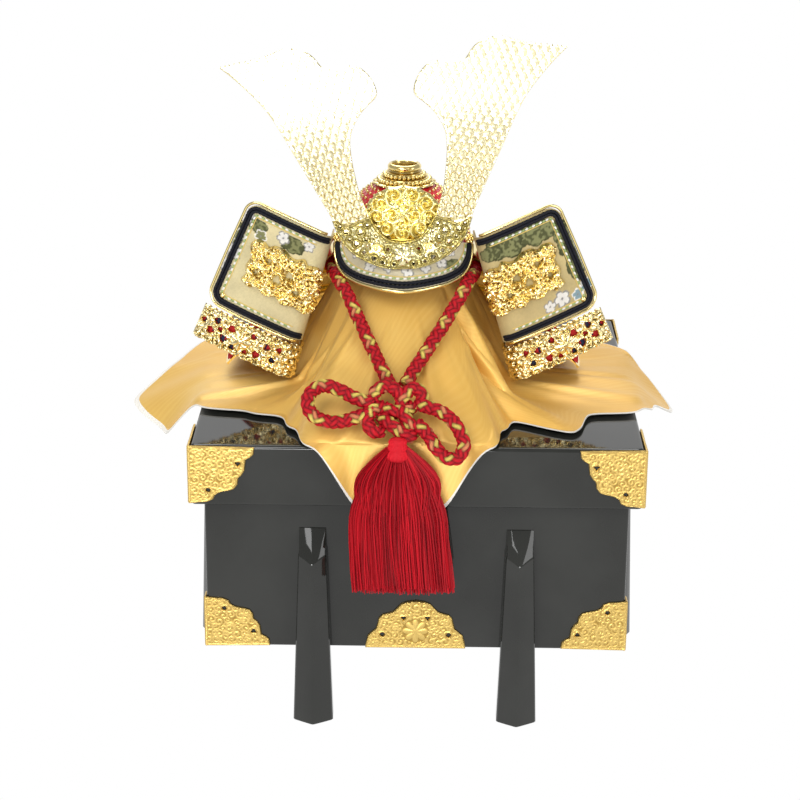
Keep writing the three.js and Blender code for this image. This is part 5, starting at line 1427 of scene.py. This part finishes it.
BAND_LONG, BAND_HIGH = 90.0, 27.0


def band_place(x, y, h):
    """The band hangs under the panel, its lower edge scalloped; x runs along it and y up it in millimetres."""
    up = -BAND_HIGH + y - 2.2 - 3 * GAP
    return panel_raised(mix(LEG * 0.5, panel_full(up), x / BAND_LONG), up, h)[0]


# The band's gaps: along it, up it, size
BAND_HOLES = [(36, 16.2, 2.0), (42.3, 7.6, 2.1), (64.8, 17.8, 2.2), (68.4, 8.1, 2.3), (76.5, 18.9, 1.9),
              (79.2, 9.7, 2.1), (47.7, 19.4, 1.7), (30, 8.5, 1.6), (27, 18, 1.6), (60.5, 4.8, 1.5), (86, 15, 1.5),
              (72.5, 13.5, 1.4), (50.5, 5.5, 1.3)]


def build_band():
    """A pierced band of scrolls with a flower, scalloped below."""
    x = np.linspace(0, BAND_LONG, 72)
    bottom = 1.0 + 1.2 * np.abs(np.sin(x * math.pi / 9)) + 0.35 * np.sin(x * 2.1)
    top = 26.4 + 0.5 * np.sin(x * 1.4)
    loop = np.vstack([spots_of(x, bottom * -1 + 1.4), spots_of(x, top)[::-1]])
    holes = [rough_hole(*row, k + 50) for k, row in enumerate(BAND_HOLES)]
    rows = scroll_rows((2, 2), (88, 25), 7.0, 5.4, 41) + [(a, b, s + 2.6, 1, 0.2) for a, b, s in BAND_HOLES]

    def front(x, y, edge):
        """Height and shade by the distance from the edge and by the pattern."""
        bloom, rim = flower(x, y, 55.8, 12.6, 8.6, 8), bell(edge, 0.7, 0.45)
        relief = np.maximum(scrolls(x, y, rows, 1.5), 1.3 * bloom + 0.2 * (bloom > 0)) + 0.08 * rumple(x, y, 1.8, 43)
        height = 0.7 + smooth(edge / 0.5) * 0.6 + np.maximum(0.9 * rim, 2.2 * relief * smooth(edge / 1.0))
        # The ground between the scrolls is painted dark as shade, so that it reads as openwork; the rim stays light.
        return height, np.maximum(rim, smooth((relief - 0.16) / 0.28))

    return plate([loop] + holes, 0.58, front, 0.0, band_place)


def band_backing():
    """Flat lacing behind the pierced band: upright strands, two red and one navy in turn."""
    x, y = np.meshgrid(np.linspace(9, 89, 200), np.linspace(2.5, 25.5, 8))
    pitch = 2.6
    dye = np.where((np.floor(x / pitch) % 3 < 2)[..., None], [0.50, 0.018, 0.02], [0.02, 0.025, 0.07])
    return shell(band_place(x, y, -1.6 + 0.35 * np.abs(np.sin(x * math.pi / pitch))), 0.5, dye)


def build_panels():
    """Both panels' brocade, each with its own flowers; what they carry is alike on both, mirrored."""
    # The left panel's ground is a lighter copy of the right's beige, as painted light on the side towards the key lamp.
    left = panel_cloth([(86, 71, 5.4, 0.2, 0), (72, 62, 4.6, 0.8, 1), (88, 55, 5.0, 0.5, 1), (88, 42, 6.0, 0.1, 0),
                        (92, 31, 5.6, 1.0, 0), (56, 68, 4.8, 0.9, 0), (36, 70, 4.2, 1.4, 0)],
                       [(48, 66, 9, 6), (76, 68, 7, 5), (90, 56, 6, 9)], np.array([0.68, 0.59, 0.34]), 61)
    right = panel_cloth([(72, 15, 6.2, 0.6, 0), (62, 13, 4.6, 0.1, 0), (92, 17, 5.0, 1.0, 2), (84, 13, 4.4, 0.3, 2)],
                        [(44, 70, 17, 9), (68, 69, 14, 8), (86, 56, 8, 13), (88, 34, 6, 11), (30, 68, 8, 5)], BEIGE, 71)
    put("panel_brocade_right", right, BROCADE, ["side_panel_right"], 50)
    put("panel_brocade_left", mirrored(left), BROCADE, ["side_panel_left"], 50)
    along = lambda rise, *line: panel_raised(*panel_line(*line).T, np.full(1, rise))
    both("panel_stitches", stitched(*along(PLATE, 7.6, 1.0, 1.0)), THREAD)
    cords = [ridged_cord(along(PLATE + 0.85, inset, 0.9, 0.5)[0], 1.25) for inset in (2.3, 4.6)]
    both("panel_navy_cord", join(*cords), NAVY, ["panel_cord_rim"], 60)
    spots, out = along(PLATE / 2, 0.0, 1.0, 0.72)
    aside = spots - panel_spot(60.0, HEIGHT / 2)
    aside = unit(aside - out * (aside * out).sum(-1, keepdims=True))
    both("panel_gilt_rim", sweep(spots + aside * 1.4, 1.1, 8), BRIGHT, ["panel_gold_rim"], 60)
    both("cast_ornament", build_ornament(), CAST, ["panel_ornament"], 40)
    both("scroll_band", build_band(), LACE, ["pierced_band"], 40)
    both("band_lacing", band_backing(), THREAD, (), 50)
    spot, out = panel_raised([panel_full(9) - 9.0], [8.0], [PLATE + 0.4])
    both("panel_pin", scattered(dome(16, 6), spot, [1.0, 0, 0], out, [2.2, 2.2, 1.7]), BRIGHT)


# Neck guard

def lame_surface(index, u, v):
    """A cone's stretch round the back: each lame starts under the last one's edge and flares outwards."""
    out, drop, step, lift = 78, 90, 0.25, 2.6
    slant = math.hypot(out, drop)
    run = step * index + v * (step + 4.5 / slant)
    r = 51.6 + out * run + drop / slant * lift * v
    z = 322 - drop * run + out / slant * lift * v
    stretch = 0.982 * 1.1
    angle = (math.pi / 2 + np.arcsin(19 / r / stretch)) * (2 * u - 1)
    return spots_of(r * np.sin(angle), stretch * r * np.cos(angle), z)


LAME_RED, LAME_NAVY = np.array([0.48, 0.016, 0.02]), np.array([0.02, 0.025, 0.07])


def build_lames():
    """Four lames, each with two rows of lacing on its outer side: seven red laces, then two navy ones."""
    u, v = np.meshgrid(np.linspace(1, 0, 150), np.linspace(0, 1, 18))
    rise = PLATE + 0.7 * bell(v, 1, 0.05) + 0.35 * bell(v, 0.1, 0.05)
    for k in range(4):
        surface = lambda a, b: lame_surface(k, a, b)
        put(f"gilt_lame_{k + 1}", shell(surface(u, v), rise), BRIGHT, [f"neck_lame_{k + 1}"], 40)
        count = int(run_of(surface(np.linspace(0, 1, 60), np.full(60, 0.5)))[-1] / 3.1)
        at = (np.arange(count) + 0.5) / count
        tones = np.where((np.arange(count) % 9 < 7)[:, None], LAME_RED, LAME_NAVY)
        rows = []
        for share, length in ((0.42, 9.0), (0.80, 4.2)):
            spot, out = surface_line(surface, at, share)
            out = out * np.sign((out * (spot - [0, 0, 240])).sum(-1, keepdims=True))
            down = surface(at, np.full(count, share + 0.01)) - spot
            rows.append(tinted(scattered(RICE, spot + out * (PLATE + 0.1), down, out, [length, 1.25, 0.95]), tones))
        put(f"lame_lacing_{k + 1}", join(*rows), THREAD, (), 50)


# Cord, bow and tassel

# The cord's middle line as x, y and height over the bowl's rim: from the knot up the left side, down the right
# side to the knot, and the bow's two loops
LEFT_RUN = [(-7.2, -124.8, -67.3), (-14, -112, -58.3), (-23.5, -94, -44.5), (-32, -78, -31.5), (-39, -64.5, -20.5),
            (-47, -46, -13), (-51.5, -28, -12.5)]
RIGHT_RUN = [(52.5, -27, -12.5), (48, -46, -13), (42, -63, -19.5), (32, -79, -32.5), (21, -95.5, -45.5),
             (9.5, -112.5, -58.7), (2.4, -124.8, -67.3)]
LEFT_LOOP = [(-19, -142.5, -74.5), (-32, -141, -70.5), (-44, -138, -65.5), (-54, -136, -63.5), (-62, -138, -67),
             (-65, -143, -72.5), (-62.5, -148, -79.5), (-53, -150.5, -84.5), (-40, -150.5, -84.5), (-29, -149, -81.5),
             (-18.5, -146.5, -78.5)]
RIGHT_LOOP = [(13.3, -143.5, -74.5), (24, -148.5, -75.5), (33.5, -153, -79.5), (41, -159, -87), (44.5, -164, -96.5),
              (40, -167, -104.5), (32, -167, -104.5), (25, -164.5, -98), (19, -159, -90), (11.5, -153.5, -84.5)]
BACK_RADIUS, CORD_LEVEL = 54.5, -12.5
CORD_PITCH, BRAID_CELL = 0.62, 4.9
CRIMSON, STITCH_GOLD, SALMON = (np.array(dye) for dye in ((0.62, 0.005, 0.016), (0.82, 0.62, 0.13), (0.78, 0.25, 0.11)))


def braided(path, radius=5.0, sides=40):
    """A round braid: six strands run each way round, over two and under two in turn. A strand stands
    highest along its middle and dips at its ends; one in six is gold each way, and a salmon one lies by it.
    Its colour is painted darker where the strands dip and between their yarns, as shade."""
    path = evenly(path, CORD_PITCH)
    turn, run = np.arange(sides) / sides * 6, run_of(path)[:, None] / BRAID_CELL
    one, two = run + turn, run - turn
    i, j = np.floor(one), np.floor(two)
    step = (i + j) % 4
    over = step < 2
    ridge = lambda t: np.sin(np.clip(t, 0, 1) * math.pi)
    across = np.where(over, ridge(one - i), ridge(two - j))
    along = np.where(over, ridge((step + two - j) / 2), ridge((step - 2 + one - i) / 2))
    height = across ** 0.7 * (0.35 + 0.65 * along ** 0.5)
    part = sweep(path, radius, sides, lambda s, a: 0.74 + 0.30 * height, ends=False)
    yarn_shade = 0.86 + 0.14 * np.cos(np.where(over, one, two) * TURN * 4)
    dye = np.where((over & (i % 6 == 0) | ~over & (j % 6 == 3))[..., None], STITCH_GOLD, CRIMSON)
    # Painted shade: darker where a strand dips, and in fine stripes between its yarns.
    dye = np.where((~over & (j % 6 == 4))[..., None], SALMON, dye) * (yarn_shade * (0.12 + 0.88 * height ** 0.9))[..., None]
    return dict(part, dye=np.vstack([dye.reshape(-1, 3), CRIMSON, CRIMSON])), path


def build_cords():
    angle = np.radians(mix(-115, 115, np.arange(1, 8) / 8))
    back = spots_of(BACK_RADIUS * np.sin(angle), BACK_RADIUS * np.cos(angle) * 1.0802, CORD_LEVEL)
    routes = {"chin_braid": (np.vstack([LEFT_RUN, back, RIGHT_RUN]), "chin_cord", "taut"),
              "bow_braid_left": (LEFT_LOOP, "bow_loop_left", "loose"),
              "bow_braid_right": (RIGHT_LOOP, "bow_loop_right", "loose")}
    for name, (rows, stands_for, lay) in routes.items():
        part, path = braided(curve(np.array(rows) + [0, 0, RIM], CORD_PITCH))
        piece = put(name, part, THREAD, [stands_for], 60)
        shown = path[np.append(np.arange(0, len(path) - 3, 4), len(path) - 1)] * MM
        tuple(path[0] * MM)


KNOT_SPOT = np.array([-3.0, -142.0, 238.9])


def knot_place(points):
    """The bow's plane leans forward by forty degrees; z of the flat points stands out of it."""
    t = math.radians(-40)
    x, z, out = points.T
    return spots_of(x, -out * math.cos(t) - z * math.sin(t), -out * math.sin(t) + z * math.cos(t)) + KNOT_SPOT


# The knot's bights that show, each point as across, up and out of its plane
BIGHTS = [
    [(-17, 4, 0), (-14, 13, 4), (-6, 16, 5.5), (1, 12, 5), (4, 5, 0)],
    [(3, 1, 0), (6, 10, 4.5), (13, 14.5, 5.5), (18, 10, 4.5), (16, 1, 0)],
    [(-9, 3, 0), (-17, -2, 4), (-20, -10, 4.5), (-16, -17, 4), (-9, -16, 0)],
    [(-10, -6, 0), (-5, -11, 4.5), (2, -17, 5.5), (9, -21, 4.5), (13, -15, 0)],
    [(3, 3, 0), (5, -4, 4.5), (9, -11, 4.5), (14, -14, 0)],
    [(-8, 2, 0), (-2, -2, 2.5), (6, -2, 2.5), (12, 3, 0)]]


def build_knot():
    """Short braids that cross each other."""
    parts = [braided(knot_place(curve(rows, 0.6)), 4.9, 36)[0] for rows in BIGHTS]
    put("bow_knot", join(*parts), THREAD, ["cord_knot"], 60)


TASSEL = np.array([-1.5, -164.6, 219.8])


def build_tassel():
    """Threads from a bound head: an upper tier that bulges and a longer skirt that flares, each thread a
    thin three-sided tube whose place across and in depth spreads with the run down."""
    dice = np.random.default_rng(77)
    down = np.linspace(0, 1, 13)

    def tier(count, top, bottom, half, depth, flare, bulge):
        """Middle lines of one tier's threads, which wave a little on their way down."""
        across = dice.uniform(-1, 1, count)
        deep = (dice.uniform(-1, 1, count) * np.sqrt(1 - across ** 2 * 0.8))[:, None]
        t = down[None, :] * (1 + dice.uniform(-0.03, 0.03, count))[:, None]
        spread = bulge(t)
        wob = dice.uniform(-1, 1, (count, 2))
        x = across[:, None] * half * spread + flare * t ** 2 + wob[:, :1] * 1.2 * np.sin(t * 5 + wob[:, 1:] * 4)
        y = -np.abs(deep) * depth * np.minimum(1, spread * 1.2) * np.sign(deep + 0.4) + wob[:, 1:] * 0.5 * np.sin(t * 6)
        return spots_of(x, y, mix(top, bottom, t))

    swell = lambda t, rate: np.sin(np.clip(t * rate, 0, 1) * math.pi / 2)
    lines = np.concatenate([
        tier(420, 0.0, -48.0, 31.0, 7.4, 0.0, lambda t: 0.22 + 0.78 * swell(t, 1.5) * (1 - 0.10 * t ** 3)),
        tier(900, -14.0, -107.5, 36.0, 6.6, 4.5, lambda t: 0.50 + 0.42 * swell(t, 2.2) + 0.08 * t)])
    ahead = unit(np.gradient(lines, axis=1))
    side = unit(np.cross(ahead, [0, 1.0, 0.05]))
    up = np.cross(ahead, side)
    count, rows = lines.shape[:2]
    a = turns(3)[:, None]
    radius = (0.62 * (1 - 0.25 * down))[None, :, None, None]
    ring = lines[:, :, None] + radius * (side[:, :, None] * np.cos(a) + up[:, :, None] * np.sin(a))
    quads, ci, cj = grid(rows, 3, around=True)
    step = (np.arange(count) * rows * 3)[:, None, None]
    last = (rows - 1) * 3
    ends = np.array([[2, 1, 0], [last, last + 1, last + 2]])[None] + step
    threads = outward(shape(ring, [(quads[None] + step).reshape(-1, 4), ends.reshape(-1, 3)],
                            [np.tile(spots_of(ci * 0.6, cj * 4.0), (count, 1, 1)), np.zeros((count * 2, 3, 2))]))
    head = turned([(0.3, 7.0), (4.5, 6.6), (6.0, 5.0), (6.3, 3.5), (5.8, 2.2), (6.6, 1.0), (6.8, -0.6), (6.2, -1.8),
                   (7.4, -3.2), (8.4, -6.0), (7.0, -9.0), (0.3, -10.0)], 40,
                  lambda r, z, t: (r * (1 + 0.05 * np.cos(t * 20)), z), 0.85)
    # The core inside the threads is painted dark, as shade deep in the tassel.
    shaded_core = turned([(0.3, -4), (12, -16), (25, -36), (27, -52), (29, -80), (31, -103), (0.3, -103.5)], 32, None, 0.16)
    whole = join(tinted(threads, CRIMSON * dice.uniform(0.40, 0.90, (count, 1))), tinted(head, CRIMSON),
                 tinted(shaded_core, CRIMSON * 0.45))
    put("red_tassel", dict(whole, points=whole["points"] + TASSEL), THREAD, ["tassel"], 60)


build_bowl()
build_finial()
build_visor()
build_crest_base()
build_blades()
build_medallion()
build_panels()
build_lames()
build_knot()
build_tassel()
build_cords()


# Floor and light

def build_studio():
    """A white floor that curves up behind, a soft grey surround that looks white, and four soft lamps."""
    rows, level_end = 24, 0.6
    run = np.linspace(0, 1, rows)
    bend = (run - level_end) / (1 - level_end) * math.pi / 2
    y = np.where(run < level_end, mix(-3000, 2200, run / level_end), 2200 + 800 * np.sin(bend))
    z = np.where(run < level_end, 0.0, 1800 * (1 - np.cos(bend))) - 0.05
    points = spots_of(np.linspace(-3000, 3000, 3), y[:, None], z[:, None])
    mesh = bpy.data.meshes.new("floor")
    mesh.from_pydata([tuple(p) for p in (points * MM).reshape(-1, 3)], [], grid(rows, 3)[0].tolist())
    floor = bpy.data.objects.new("floor", mesh)
    scene.collection.objects.link(floor)
    white = (1.0, 1.0, 1.0, 1.0)
    mesh.materials.append(finish("white floor", (0.0, 0.0, 0.0), 1.0, Specular_IOR_Level=0.0, Emission_Color=white,
                                 Emission_Strength=1.0)[0])
    mesh.polygons.foreach_set("use_smooth", np.ones(len(mesh.polygons), bool))
    world = bpy.data.worlds.new("studio")
    world.use_nodes = True
    around = world.node_tree.nodes["Background"].inputs
    around[0].default_value = white
    link(world.node_tree, node(world.node_tree, "LightPath") * 0.58 + 0.42, around[1])
    scene.world = world
    for name, spot, aim, size, power in (("key", (-650, -1200, 1500), (0, 0, 280), (0.9, 0.9), 14.0),
                                         ("fill", (1000, -900, 900), (0, 0, 280), (0.9, 0.9), 8.0),
                                         ("front", (-330, -2250, 250), (0, 0, 430), (1.1, 0.34), 20.0),
                                         ("back", (-100, 900, 1500), (0, 0, 350), (1.0, 1.0), 12.0)):
        data = bpy.data.lights.new(name, "AREA")
        data.shape, data.energy = "RECTANGLE", power
        data.size, data.size_y = size
        lamp = bpy.data.objects.new(name, data)
        ahead = unit(np.array(aim, float) - spot)
        right = unit(np.cross(ahead, [0, 0, 1]))
        lamp.matrix_world = aimed(spot, ahead, right, np.cross(right, ahead))
        scene.collection.objects.link(lamp)
    scene.view_settings.view_transform = "Standard"


build_studio()
